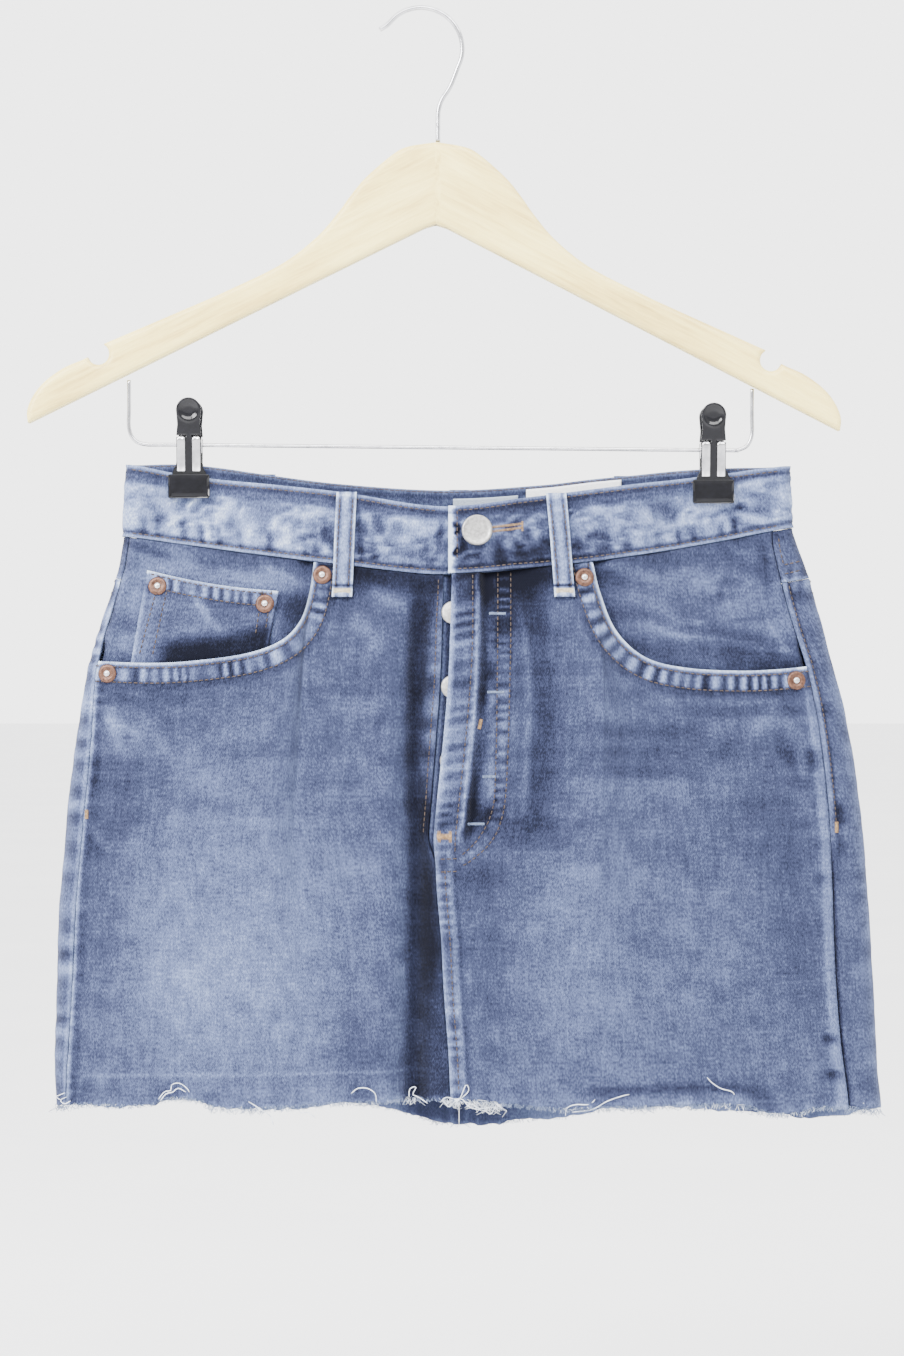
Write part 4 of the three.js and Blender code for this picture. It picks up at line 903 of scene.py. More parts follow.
def cloth(name, node, phi, z, form, inner, outer, materials, torn=False, shade=None):
    """A thin wall over a grid of angles and levels, raised by the form on its outer side."""
    base, normal = ring_point(phi, z), ring_normal(phi, z)
    x = base[..., 0]
    relief, fade = form(x, z, phi)
    walls = []
    for offset, share in ((outer(x, z, phi), 1.0), (inner(x, z, phi), INNER_RELIEF)):
        walls.append(base + normal * (offset + share * relief)[..., None])
        if torn:
            walls[-1][:, 0, 2] += torn_edge(x[:, 0])
    outer_faces, inner_faces, rim_faces = wall_faces(*phi.shape)
    faces = np.concatenate((outer_faces, inner_faces, rim_faces)).tolist()
    piece = link(name, np.concatenate([wall.reshape(-1, 3) for wall in walls]), faces)
    weave = weave_place(base, z)
    paint(piece, "grain", "FLOAT_VECTOR", np.concatenate((weave, weave + LINING_SHIFT)))
    # The inner face takes half the fade, plus the painted shadow when a shade is given.
    lining = fade * 0.5 + (shade(x, z) if shade else 0.0)
    paint(piece, "fade", "FLOAT", np.concatenate((fade.ravel(), lining.ravel())))
    material_index = np.zeros(len(faces), np.int32)
    if len(materials) > 1:
        material_index[len(outer_faces):len(outer_faces) + len(inner_faces)] = 1
    settle_piece(piece, "denim", materials, node)
    piece.data.polygons.foreach_set("material_index", material_index)
    return piece


def fixed(value):
    return lambda x, z, phi: value + 0 * x


def raised(rise, offset):
    return lambda x, z, phi: offset + rise(x, z)


def unit_grid(columns, rows):
    return np.meshgrid(np.linspace(0, 1, columns), np.linspace(0, 1, rows), indexing="ij")


def packed_rows(count, tight):
    """Levels from 0 at the bottom to 1 at the top, closer together towards both ends."""
    t = np.linspace(0, 1, count + 1)
    return t - tight * np.sin(TAU * t) / TAU


# Materials
def nodes_of(name):
    material = bpy.data.materials.new(name)
    material.use_nodes = True
    tree = material.node_tree
    return material, tree, tree.nodes["Principled BSDF"]


def node(tree, kind, **settings):
    made = tree.nodes.new(kind)
    for key, value in settings.items():
        if key in made.inputs:
            made.inputs[key].default_value = value
        else:
            setattr(made, key, value)
    return made


def maths(tree, operation, a, b=None, clamp=False):
    made = tree.nodes.new("ShaderNodeMath")
    made.operation = operation
    made.use_clamp = clamp
    for socket, value in zip(made.inputs, (a, b)):
        if value is None:
            continue
        if isinstance(value, (int, float)):
            socket.default_value = value
        else:
            tree.links.new(value, socket)
    return made.outputs[0]


def noise_at(tree, vector, scale, detail=2.0, stretch=(1, 1, 1)):
    mapping = node(tree, "ShaderNodeMapping")
    mapping.inputs["Scale"].default_value = stretch
    tree.links.new(vector, mapping.inputs["Vector"])
    made = node(tree, "ShaderNodeTexNoise", Scale=scale, Detail=detail)
    tree.links.new(mapping.outputs[0], made.inputs["Vector"])
    return made.outputs["Fac"]


def ramp_colours(tree, factor, stops):
    made = tree.nodes.new("ShaderNodeValToRGB")
    elements = made.color_ramp.elements
    while len(elements) < len(stops):
        elements.new(0.5)
    for element, (position, colour) in zip(elements, stops):
        element.position = position
        element.color = (*colour, 1)
    tree.links.new(factor, made.inputs[0])
    return made.outputs[0]


def add_bump(tree, shader, height, distance):
    made = node(tree, "ShaderNodeBump", Strength=1.0, Distance=distance)
    tree.links.new(height, made.inputs["Height"])
    tree.links.new(made.outputs[0], shader.inputs["Normal"])


INDIGO = ((0.00, (0.0022, 0.0026, 0.0065)), (0.20, (0.0090, 0.0108, 0.0245)), (0.40, (0.028, 0.034, 0.071)),
          (0.58, (0.070, 0.090, 0.171)), (0.78, (0.157, 0.199, 0.330)), (1.00, (0.400, 0.465, 0.580)))


def denim_material(name, lift=0.0, contrast=1.0):
    """Stone-washed twill: indigo worn towards pale blue, with slubs, speckle and a fine diagonal."""
    material, tree, shader = nodes_of(name)
    grain = node(tree, "ShaderNodeAttribute", attribute_name="grain").outputs["Vector"]
    fade = node(tree, "ShaderNodeAttribute", attribute_name="fade").outputs["Fac"]
    cloud = noise_at(tree, grain, 0.022, 3.0, (1, 0.8, 1))
    patch = noise_at(tree, grain, 0.10, 3.0, (1, 0.75, 1))
    slub = noise_at(tree, grain, 0.42, 2.0, (1, 0.16, 1))
    cross = noise_at(tree, grain, 0.5, 2.0, (0.22, 1, 1))
    speckle = noise_at(tree, grain, 1.15, 2.0, (1, 0.55, 1))
    level = maths(tree, "ADD", fade, 0.418 + lift)
    for layer, share in ((cloud, 0.10), (patch, 0.20), (slub, 0.20), (cross, 0.16), (speckle, 0.52)):
        centred = maths(tree, "SUBTRACT", layer, 0.5)
        level = maths(tree, "ADD", level, maths(tree, "MULTIPLY", centred, share * contrast))
    separate = node(tree, "ShaderNodeSeparateXYZ")
    tree.links.new(grain, separate.inputs[0])
    diagonal = maths(tree, "ADD", separate.outputs[0], maths(tree, "MULTIPLY", separate.outputs[1], 0.7))
    twill = maths(tree, "SINE", maths(tree, "MULTIPLY", diagonal, TAU / 1.1))
    level = maths(tree, "ADD", level, maths(tree, "MULTIPLY", twill, 0.018), clamp=True)
    tree.links.new(ramp_colours(tree, level, INDIGO), shader.inputs["Base Color"])
    height = maths(tree, "ADD", maths(tree, "MULTIPLY", twill, 0.35), maths(tree, "MULTIPLY", speckle, 1.3))
    height = maths(tree, "ADD", height, maths(tree, "MULTIPLY", slub, 0.8))
    add_bump(tree, shader, height, 0.00022)
    shader.inputs["Roughness"].default_value = 0.88
    shader.inputs["Sheen Weight"].default_value = 0.04
    shader.inputs["Sheen Roughness"].default_value = 0.5
    shader.inputs["Specular IOR Level"].default_value = 0.06
    return material


def grained_material(name, dark, light, scale, roughness, metallic=0.0, depth=0.0001, stretch=(1, 1, 1),
                     specular=0.5):
    """A surface whose colour and relief vary with noise in the object's own space."""
    material, tree, shader = nodes_of(name)
    place = node(tree, "ShaderNodeTexCoord").outputs["Object"]
    fine = noise_at(tree, place, scale, 4.0, stretch)
    tree.links.new(ramp_colours(tree, fine, ((0.3, dark), (0.7, light))), shader.inputs["Base Color"])
    wear = noise_at(tree, place, scale * 0.6, 3.0)
    span = maths(tree, "MULTIPLY", maths(tree, "SUBTRACT", wear, 0.5), 0.25)
    tree.links.new(maths(tree, "ADD", span, roughness, clamp=True), shader.inputs["Roughness"])
    add_bump(tree, shader, fine, depth)
    shader.inputs["Metallic"].default_value = metallic
    shader.inputs["Specular IOR Level"].default_value = specular
    return material


def wood_material():
    material, tree, shader = nodes_of("beech_wood")
    place = node(tree, "ShaderNodeAttribute", attribute_name="grain").outputs["Vector"]
    wide = noise_at(tree, place, 0.014, 3.0, (1, 3, 4.5))
    lines = noise_at(tree, place, 0.09, 3.0, (0.3, 2, 6))
    flecks = noise_at(tree, place, 0.42, 2.0, (0.3, 1, 3))
    level = maths(tree, "MULTIPLY", wide, 0.5)
    level = maths(tree, "ADD", level, maths(tree, "MULTIPLY", lines, 0.35))
    level = maths(tree, "ADD", level, maths(tree, "MULTIPLY", flecks, 0.15))
    stops = ((0.30, (0.52, 0.37, 0.105)), (0.46, (0.76, 0.60, 0.195)), (0.60, (0.87, 0.73, 0.270)),
             (0.80, (0.92, 0.81, 0.360)))
    tree.links.new(ramp_colours(tree, level, stops), shader.inputs["Base Color"])
    add_bump(tree, shader, maths(tree, "ADD", lines, flecks), 0.00012)
    shader.inputs["Roughness"].default_value = 0.42
    shader.inputs["Coat Weight"].default_value = 0.25
    shader.inputs["Coat Roughness"].default_value = 0.25
    return material


def thread(colour, dark, light, scale=900, roughness=0.8):
    return grained_material(f"thread_{colour}", dark, light, scale, roughness, specular=0.1)


def label_weave(colour, dark, light):
    return grained_material(f"label_{colour}", dark, light, 900, 0.8, 0.0, 0.0002, (1, 1, 3), 0.1)


denim = denim_material("denim_face")
denim_inside = denim_material("denim_reverse", lift=0.17, contrast=0.6)
LINED = [denim, denim_inside]
THREAD = thread("tan", (0.030, 0.024, 0.021), (0.092, 0.068, 0.054))
THREAD_ORANGE = thread("orange", (0.15, 0.090, 0.045), (0.31, 0.205, 0.115))
THREAD_BLUE = thread("blue", (0.07, 0.095, 0.16), (0.18, 0.22, 0.32))
THREAD_CREAM = thread("cream", (0.25, 0.21, 0.15), (0.50, 0.45, 0.36), 700)
THREAD_PALE = thread("pale", (0.09, 0.120, 0.205), (0.27, 0.325, 0.46), 500, 0.85)
THREAD_WHITE = thread("white", (0.42, 0.46, 0.54), (0.80, 0.83, 0.88), 300, 0.85)
COPPER = grained_material("copper_worn", (0.036, 0.013, 0.007), (0.125, 0.056, 0.032), 700, 0.42, 0.45)
NICKEL = grained_material("rivet_nub", (0.34, 0.33, 0.34), (0.60, 0.59, 0.60), 700, 0.3, 0.7)
SILVER = grained_material("button_silver", (0.22, 0.215, 0.21), (0.40, 0.39, 0.385), 650, 0.42, 0.75, 0.00012)
WIRE = grained_material("plated_wire", (0.42, 0.42, 0.44), (0.62, 0.62, 0.64), 260, 0.2, 1.0)
CHROME = grained_material("spring_chrome", (0.44, 0.44, 0.46), (0.70, 0.70, 0.72), 200, 0.14, 1.0)
BLACK = grained_material("clip_black", (0.002, 0.002, 0.003), (0.004, 0.004, 0.006), 400, 0.12, 0.0, 0.00001,
                         specular=0.3)
LABEL_GREY = label_weave("grey", (0.20, 0.24, 0.30), (0.33, 0.38, 0.45))
LABEL_WHITE = label_weave("white", (0.62, 0.63, 0.65), (0.82, 0.83, 0.85))
WOOD = wood_material()


# Cloth pieces
COLUMN_STEP, FRONT_ROWS, EVEN_SHARE, HEM_LEVEL = 1.45, 150, 0.45, -598.0
SCOOP_TOP, FLY_TOP = -304.4, -311.0


def front_grid(top, left_side, right_side):
    """Columns spread along the top outline, and down to the hem between the two side lines."""
    top_x, top_z = top.points.T
    share = (top_x - left_side(top_z)) / (right_side(top_z) - left_side(top_z))
    low = mix(share, np.linspace(0, 1, len(share)), EVEN_SHARE)[:, None]
    hem = follow(HEM, "x", mix(left_side(HEM_LEVEL), right_side(HEM_LEVEL), low), "front")
    v = packed_rows(FRONT_ROWS, 0.35)[None, :]
    z = mix(hem, top_z[:, None], v)
    x = mix(left_side(z), right_side(z), mix(low, share[:, None], v))
    return front_angle(x, z), z


def band_low_points(start, end):
    return [(x, float(follow(BAND, "x", x, "front_low")) - GAP) for x in np.linspace(start, end, 40)]


def build_fronts():
    left_top = [p for p in scoop_left.points if p[1] < SCOOP_TOP]
    left_top[0] = (float(seam_x("left", SCOOP_LEFT[0][1])) + GAP, SCOOP_LEFT[0][1])
    band_low = band_low_points(SCOOP_LEFT[-1][0], float(left_front_edge(FLY_TOP)))
    phi, z = front_grid(Line(left_top + band_low, COLUMN_STEP), lambda level: seam_x("left", level) + GAP,
                        left_front_edge)
    cloth("denim_front_left", "front_left", phi, z, front_left_form, fixed(0.0), fixed(PANEL), LINED,
          torn=True)
    right_top = [p for p in scoop_right.points if p[1] < SCOOP_TOP]
    right_top[-1] = (float(seam_x("right", SCOOP_RIGHT[-1][1])) - GAP, SCOOP_RIGHT[-1][1])
    band_low = band_low_points(float(fly_edge(FLY_TOP)), SCOOP_RIGHT[0][0])
    phi, z = front_grid(Line(band_low + right_top, COLUMN_STEP), fly_edge,
                        lambda level: seam_x("right", level) - GAP)
    cloth("denim_front_right", "front_right", phi, z, front_right_form, raised(fly_lift, 0.0),
          raised(fly_lift, PANEL), LINED, torn=True)


def build_underlap():
    u, v = unit_grid(17, 100)
    top = follow(BAND, "x", 17.0, "front_low") - GAP
    z = mix(UNDERLAP_LOW, top, v)
    x = fly_edge(z) + mix(-UNDERLAP_LEFT, UNDERLAP_RIGHT - UNDERLAP_LEFT, u)
    cloth("denim_fly_underlap", "fly_underlap", front_angle(x, z), z, underlap_form, fixed(UNDERLAP_INNER),
          fixed(UNDERLAP_OUTER), LINED)


def facing_rise(side, x, z):
    outward = -1 if side == "left" else 1
    opening = -61 if side == "left" else 97
    below = follow(BAND, "x", x, "front_low") - z
    at_band = ramp(below, 10, 1.5) * ramp(outward * (x - opening), 0, 7)
    at_seam = ramp(np.abs(x - seam_x(side, z)), 8, 2.5) * ramp(z, -353, -343)
    return -FACING_INNER * np.maximum(at_band, at_seam)


def build_facing(side, low_table):
    u, v = unit_grid(80, 56)
    towards, shift = (1 - u, 0.5) if side == "left" else (u, -0.5)

    def angle_at(level):
        return front_angle(mix(FACING_END[side], seam_x(side, level) + shift, towards), level)

    def rise(x, z):
        return facing_rise(side, x, z)

    low = settle(angle_at, lambda x, _: follow(low_table, "x", x, "z"), -370 + 0 * u)
    high = settle(angle_at, lambda x, _: follow(BAND, "x", x, "front_low") - GAP, -300 + 0 * u)
    z = mix(low, high, v ** 0.9)
    cloth(f"denim_pocket_facing_{side}", f"pocket_facing_{side}", angle_at(z), z, facing_form,
          raised(rise, FACING_INNER), raised(rise, FACING_OUTER), LINED)


def coin_base(x, z):
    return FACING_OUTER + GAP + facing_rise("left", x, z)


def build_coin_pocket():
    u, v = unit_grid(62, 48)
    top_x = mix(COIN_TOP_LEFT, COIN_TOP_RIGHT, u)
    z = mix(COIN_LOW, follow(COIN_TOP, "x", top_x, "z"), v)
    x = mix(mix(COIN_LOW_LEFT, COIN_LOW_RIGHT, u), top_x, v)
    cloth("denim_coin_pocket", "coin_pocket", front_angle(x, z), z, coin_form, raised(coin_base, 0.25),
          raised(coin_base, PANEL), LINED)


def back_columns(side, turn, flat):
    """Functions from level to angle: round the side fold, then across to the centre back."""
    def far(level):
        left, right, _, _ = section(level)
        return left + FOLD_REACH if side == "left" else right - FOLD_REACH

    end = CENTRE_BACK + (-GAP / 2 if side == "left" else GAP / 2)
    around = TAU if side == "left" else 0.0

    def angle(t, level):
        start = front_angle(seam_x(side, level), level) + around
        folded = mix(start, back_angle(far(level), level), np.clip(t * 4, 0, 1))
        across = back_angle(mix(far(level), end, np.clip((t - 0.25) / 0.75, 0, 1)), level)
        return np.where(t < 0.25, folded, across)

    t = np.concatenate((np.linspace(0, 0.25, turn + 1)[:-1], np.linspace(0.25, 1, flat + 1)))
    return angle, (t[::-1] if side == "left" else t)


def back_grid(side, low_edge, high_edge, turn, flat, rows, tight):
    angle, t = back_columns(side, turn, flat)
    low = settle(lambda level: angle(t, level), low_edge, -600 + 0 * t)[:, None]
    high = settle(lambda level: angle(t, level), high_edge, -320 + 0 * t)[:, None]
    z = mix(low, high, packed_rows(rows, tight)[None, :])
    return angle(t[:, None] + 0 * z, z), z


def back_shade(x, z):
    """Painted shadow on the inside of the back hem, where it shows below the front."""
    return ramp(z, -590, -598) * (-0.26 * bump(x, 18, 46) - 0.16 * bump(x, 200, 30))


def build_backs():
    for side in ("left", "right"):
        phi, z = back_grid(side, hem_level, lambda x, front: yoke_level(x) - GAP / 2, 30, 105, 130, 0.3)
        cloth(f"denim_back_{side}", f"back_{side}", phi, z, back_form, fixed(0.0), fixed(PANEL), LINED,
              torn=True, shade=back_shade)
        phi, z = back_grid(side, lambda x, front: yoke_level(x) + GAP / 2,
                           lambda x, front: band_edge(x, front, "low") - GAP, 24, 90, 26, 0.0)
        cloth(f"denim_yoke_{side}", f"yoke_{side}", phi, z, yoke_form, fixed(0.0), fixed(PANEL), LINED)


def build_waistband():
    middle = -272.0
    left, right, _, _ = (float(value) for value in section(middle))
    columns = []

    def run(face, turns, start, end):
        count = max(2, int(abs(end - start) / COLUMN_STEP))
        for x in np.linspace(start, end, count)[1 if columns else 0:]:
            columns.append(lambda level, x=x: place_angle(face, x, level) + turns * TAU)

    def turn(x, first):
        def angle(level, t):
            around = (front_angle(x, level), back_angle(x, level), front_angle(x, level) + TAU)
            return mix(around[first], around[first + 1], t)
        for t in np.linspace(0, 1, 26)[1:]:
            columns.append(lambda level, t=t: angle(level, t))

    run("front", 0, BAND_START, right - FOLD_REACH)
    turn(right - FOLD_REACH, 0)
    run("back", 0, right - FOLD_REACH, left + FOLD_REACH)
    turn(left + FOLD_REACH, 1)
    run("front", 1, left + FOLD_REACH, BAND_END)
    phis, levels = [], []
    rows = packed_rows(26, 0.35)
    for angle in columns:
        low = settle(angle, lambda x, front: band_edge(x, front, "low"), np.array(middle))
        high = settle(angle, lambda x, front: band_edge(x, front, "top"), np.array(middle))
        z = mix(low, high, rows)
        phis.append(angle(z))
        levels.append(z)
    cloth("denim_waistband", "waistband", np.array(phis), np.array(levels), band_form,
          lambda x, z, phi: BAND_INNER + band_rise(x, phi), lambda x, z, phi: BAND_OUTER + band_rise(x, phi),
          [denim])


LOOP_WIDTH, LOOP_THICKNESS, LOOP_ARCH, LOOP_DROP = 11, 1.4, 1.7, 18
BELT_LOOPS = (("belt_loop_front_left", "front", -40.2, -42.5), ("belt_loop_front_right", "front", 73.6, 78.2),
              ("belt_loop_back_left", "back", -86, -88), ("belt_loop_back_centre", "back", 21, 21),
              ("belt_loop_back_right", "back", 112, 115))


def loop_ends(face, top_x, low_x):
    is_front = face == "front"
    return float(band_edge(low_x, is_front, "low")) - LOOP_DROP, float(band_edge(top_x, is_front, "top"))


def loop_inner(face, x, z):
    is_front = np.full(np.shape(x), face == "front")
    low, high = band_edge(x, is_front, "low"), band_edge(x, is_front, "top")
    along = np.clip((z - low - 3) / (high - low - 6), 0, 1)
    on_band = ramp(z, low - 6, low - 1.2)
    return mix(PANEL + GAP, BAND_OUTER + GAP, on_band) + LOOP_ARCH * np.sin(math.pi * along)


def build_loop(name, face, top_x, low_x):
    low_z, high_z = loop_ends(face, top_x, low_x)
    high_z += 0.4
    u, v = unit_grid(21, 74)
    across = LOOP_WIDTH if face == "front" else -LOOP_WIDTH
    z = mix(low_z, high_z, v)
    x = mix(low_x, top_x, v) + across * (u - 0.5)

    def form(x, z, phi):
        side = np.abs(x - mix(low_x, top_x, (z - low_z) / (high_z - low_z)))
        tack = bump(z, low_z + 2.2, 2.4) + bump(z, high_z - 1.5, 1.6)
        relief = 0.5 * ramp(side, 5.6, 4.0) + 0.15 * bars(z, 95, 4.0) + 0.5 * tack - 0.5
        fade = 0.18 + 0.2 * tack + 0.1 * rough(z / 5, x / 5, 97)
        # The last ridge is a painted shade line across the loop above the bar tack.
        return both(relief, fade) + ridge("loop", side) + ridge("loop_groove_shade", z - low_z)

    def rise(x, z):
        return loop_inner(face, x, z)

    cloth(f"denim_{name}", name, place_angle(face, x, z), z, form, raised(rise, 0.0),
          raised(rise, LOOP_THICKNESS), [denim])


LABELS = (("label_grey", 17.6, 53.5, 4.6, 20, LABEL_GREY), ("label_white", 58.0, 110.5, 1.8, 24, LABEL_WHITE))


def build_label(name, left, right, drop, height, material):
    u, v = unit_grid(40, 20)
    x = mix(right, left, u)
    z = follow(BAND, "x", x, "back_top") - drop - height * (1 - v)
    outer = BAND_INNER - GAP - 0.5

    def form(x, z, phi):
        return both(0.10 * np.sin(u * 17) * np.sin(v * 5), 0.0)

    piece = cloth(f"woven_{name}", name, back_angle(x, z), z, form, fixed(outer - 0.8), fixed(outer),
                  [material])


# Sewing: each stitch is a small rounded thread, bowed over the cloth
def on_cloth(face, x, z, lift):
    x, z = np.asarray(x, float), np.asarray(z, float)
    phi = place_angle(face, x, z)
    return ring_point(phi, z) + ring_normal(phi, z) * (lift(x, z, phi))[..., None]


def thread_mesh(paths, radius, sides=5, end_size=0.45):
    """Joins tubes along many short paths into one mesh's points and faces."""
    points, faces = [], []
    turns = np.arange(sides)[:, None] * TAU / sides
    for path in paths:
        path = np.asarray(path, float)
        heading = np.gradient(path, axis=0)
        heading /= np.linalg.norm(heading, axis=1, keepdims=True) + 1e-9
        reference = np.where(np.abs(heading[:, 1:2]) < 0.9, (0.0, 1.0, 0.0), (1.0, 0.0, 0.0))
        first = np.cross(heading, reference)
        first /= np.linalg.norm(first, axis=1, keepdims=True) + 1e-9
        second = np.cross(heading, first)
        faces += ring_faces(len(path), sides, len(points) * sides)
        sizes = np.full(len(path), radius)
        sizes[[0, -1]] *= end_size
        for place, size, one, other in zip(path, sizes, first, second):
            points.append(place + size * (np.cos(turns) * one + np.sin(turns) * other))
    return np.concatenate(points), faces


STITCH_PITCH, STITCH_LENGTH, STITCH_RADIUS = 3.0, 2.3, 0.32
STITCH_SHARES, STITCH_BOW = (0, 0.2, 0.5, 0.8, 1.0), (-0.22, 0.12, 0.24, 0.12, -0.22)
COIN_SIDE_ROWS = ((-144.4, -153.8, -356), (-138.6, -146.4, -356), (-86.0, -91.6, -344), (-81.0, -86.4, -341))


def stitches(line, face, lift):
    along = lengths_along(line.points)
    starts = np.arange(0.4, along[-1] - STITCH_LENGTH, STITCH_PITCH)
    at = starts[:, None] + np.array(STITCH_SHARES) * STITCH_LENGTH
    x, z = (np.interp(at, along, line.points[:, k]) for k in (0, 1))
    normal = ring_normal(place_angle(face, x, z), z)
    return list(on_cloth(face, x, z, lift) + normal * np.array(STITCH_BOW)[None, :, None])


def surface_lift(form, base):
    def lift(x, z, phi):
        relief, _ = form(x, z, phi)
        return base(x, z, phi) + relief
    return lift


lift_left = surface_lift(front_left_form, fixed(PANEL))
lift_right = surface_lift(front_right_form, raised(fly_lift, PANEL))
lift_back = surface_lift(back_form, fixed(PANEL))
lift_yoke = surface_lift(yoke_form, fixed(PANEL))
lift_coin = surface_lift(coin_form, raised(coin_base, PANEL))


def band_rise(x, phi):
    """The lapped end lies on the other end of the band."""
    return np.where(phi < math.pi / 2, BAND_LIFT * ramp(x, BAND_LIFT_NONE, BAND_LIFT_FULL), 0.0)


def lapped_lift(x, z, phi):
    return BAND_OUTER + band_rise(x, phi) + band_form(x, z, phi)[0]


def band_lift(x, z, phi):
    """The end that is covered lies one turn further round."""
    return lapped_lift(x, z, phi + TAU * (np.cos(phi) >= 0))


def stitched(face, lift, *lines):
    return [path for line in lines for path in stitches(line, face, lift)]


def beside_band(column, offset, left, right):
    return edge_line(lambda x: follow(BAND, "x", x, column) + offset, left, right)


def sew(name, paths, material, radius=STITCH_RADIUS, sides=5):
    points, faces = thread_mesh(paths, radius, sides)
    return settle_piece(link(name, points, faces), "denim", [material])


def tack(face, x, z, width, angle, lift, threads, spread=0.5):
    """A bar tack: close threads side by side across a short bar."""
    paths = []
    heading = np.array((math.cos(angle), math.sin(angle)))
    side = np.array((-heading[1], heading[0]))
    for k in range(threads):
        centre = np.array((x, z)) + heading * (k - (threads - 1) / 2) * spread
        ends = [centre + side * width * t for t in (-0.5, -0.2, 0.2, 0.5)]
        path = on_cloth(face, [p[0] for p in ends], [p[1] for p in ends], lift)
        path[1:3, 1] -= 0.35 if face == "front" else -0.35
        paths.append(path)
    return paths


def sew_waistband():
    paths = []
    for edge, offset in (("low", 2.3), ("top", -2.5)):
        paths += stitched("front", band_lift, beside_band(f"front_{edge}", offset, -158, 14))
        paths += stitched("front", lapped_lift, beside_band(f"front_{edge}", offset, BAND_START + 4.6, 197))
    for edge, offset in (("low", 2.3), ("top", -2.5)):
        paths += stitched("back", band_lift, beside_band(f"back_{edge}", offset, -155, 196))
    paths += stitched("front", lapped_lift, level_line(lambda z: BAND_START + 4.8, -276, -307))
    sew("stitching_waistband", paths, THREAD)
    inside = stitched("back", fixed(BAND_INNER - 0.1), beside_band("back_top", -1.0, -152, 192))
    sew("stitching_waistband_inside", inside, THREAD)


def sew_panels():
    fly = level_line(lambda z: left_front_edge(z) - 2.6, -313, -455)
    scoop = [scoop_left.shifted(-inset) for inset in (ROW_INNER, ROW_OUTER)]
    sew("stitching_front_left", stitched("front", lift_left, *scoop, fly), THREAD)
    scoop = [scoop_right.shifted(-inset) for inset in (ROW_INNER, ROW_OUTER)]
    seam = level_line(lambda z: fly_edge(z) + 4.6, -470, -592)
    ends = [Line(((11.0, z), (20.5, z + 0.4))) for z in (-464.5, -471.5)]
    right = stitched("front", lift_right, *scoop, fly_row, j_inner, j_outer, seam, *ends)
    sew("stitching_front_right", right, THREAD)
    rows = [edge_line(lambda x: follow(COIN_TOP, "x", x, "z") - drop, -148, -79) for drop in (1.7, 8.6)]
    for start, low, stop in COIN_SIDE_ROWS:
        rows.append(Line(((start, -319), (mix(start, low, (stop + 319) / -37), stop))))
    sew("stitching_coin_pocket", stitched("front", lift_coin, *rows), THREAD)
    rows = [level_line(lambda z: CENTRE_BACK + side, -352, -606) for side in (-4.6, 4.6)]
    rows += [edge_line(lambda x: yoke_level(x) + offset, -174, 220) for offset in (-2.2, -8.6)]
    seam = level_line(lambda z: seam_x("right", z) + 3.6, -316, -452)
    sew("stitching_back", stitched("back", lift_back, *rows) + stitched("front", lift_back, seam), THREAD)
    rows = [level_line(lambda z: seam_x("right", z) + 3.2, -290, -308)]
    rows += [Line(((198, -312.2 + offset), (206.5, -310.2 + offset))) for offset in (2.0, 7.0)]
    sew("stitching_yoke", stitched("front", lift_yoke, *rows), THREAD)


def sew_loops():
    rows, tacks = [], []
    for name, face, top_x, low_x in BELT_LOOPS:
        low_z, high_z = loop_ends(face, top_x, low_x)
        lift = raised(lambda x, z: loop_inner(face, x, z), LOOP_THICKNESS + 0.1)
        for side in (-3.5, 3.5):
            rows += stitched(face, lift, Line(((low_x + side, low_z + 6), (top_x + side, high_z - 3))))
        tacks += tack(face, low_x, low_z + 3.2, 3.0, 0.0, lift, 18, 0.52)
    sew("stitching_belt_loops", rows, THREAD, 0.3)
    sew("bar_tacks_cream", tacks, THREAD_CREAM, 0.34)


def sew_tacks():
    upright = math.pi / 2
    rows = ((13.6, -452.2, 3.4, 0.0, lift_right, 13), (11.4, -452.2, 6.4, 0.0, lift_right, 3),
            (16.4, -452.2, 6.4, 0.0, lift_right, 3), (32.2, -391.6, 2.0, upright - 0.2, lift_right, 11),
            (float(seam_x("right", -448)) + 3.6, -448, 2.2, upright, lift_back, 12),
            (float(seam_x("left", -441)) + 1.6, -441, 2.0, upright, lift_left, 10))
    sew("bar_tacks_orange", [path for row in rows for path in tack("front", *row)], THREAD_ORANGE, 0.3)
    pale = []
    for x, z, threads in ((41.5, -332.0, 18), (40.5, -374.4, 18), (37.0, -420.0, 14), (30.0, -445.5, 18)):
        pale += tack("front", x, z, 1.6, 0.0, lift_right, threads)
    sew("bar_tacks_pale", pale, THREAD_BLUE, 0.28)


def sew_buttonhole():
    def bowed(x, z, height):
        first, last = on_cloth("front", x, z, lapped_lift)
        return np.array((first, (first + last) / 2 - (0, height, 0), last))

    hole = []
    for k in range(26):
        x, z = 38.4 + k * 0.66, -286.8 + 0.09 * k
        for up in (-1.0, 1.0):
            hole.append(bowed([x, x + 0.15], [z + up * 0.35, z + up * 1.9], 0.35))
    for z in -287.2 + np.arange(9) * 0.62:
        hole.append(bowed([54.6, 55.8], [z, z], 0.4))
    sew("buttonhole_thread", hole, THREAD_ORANGE, 0.3)


def build_sewing():
    sew_waistband()
    sew_panels()
    sew_loops()
    sew_tacks()
    sew_buttonhole()


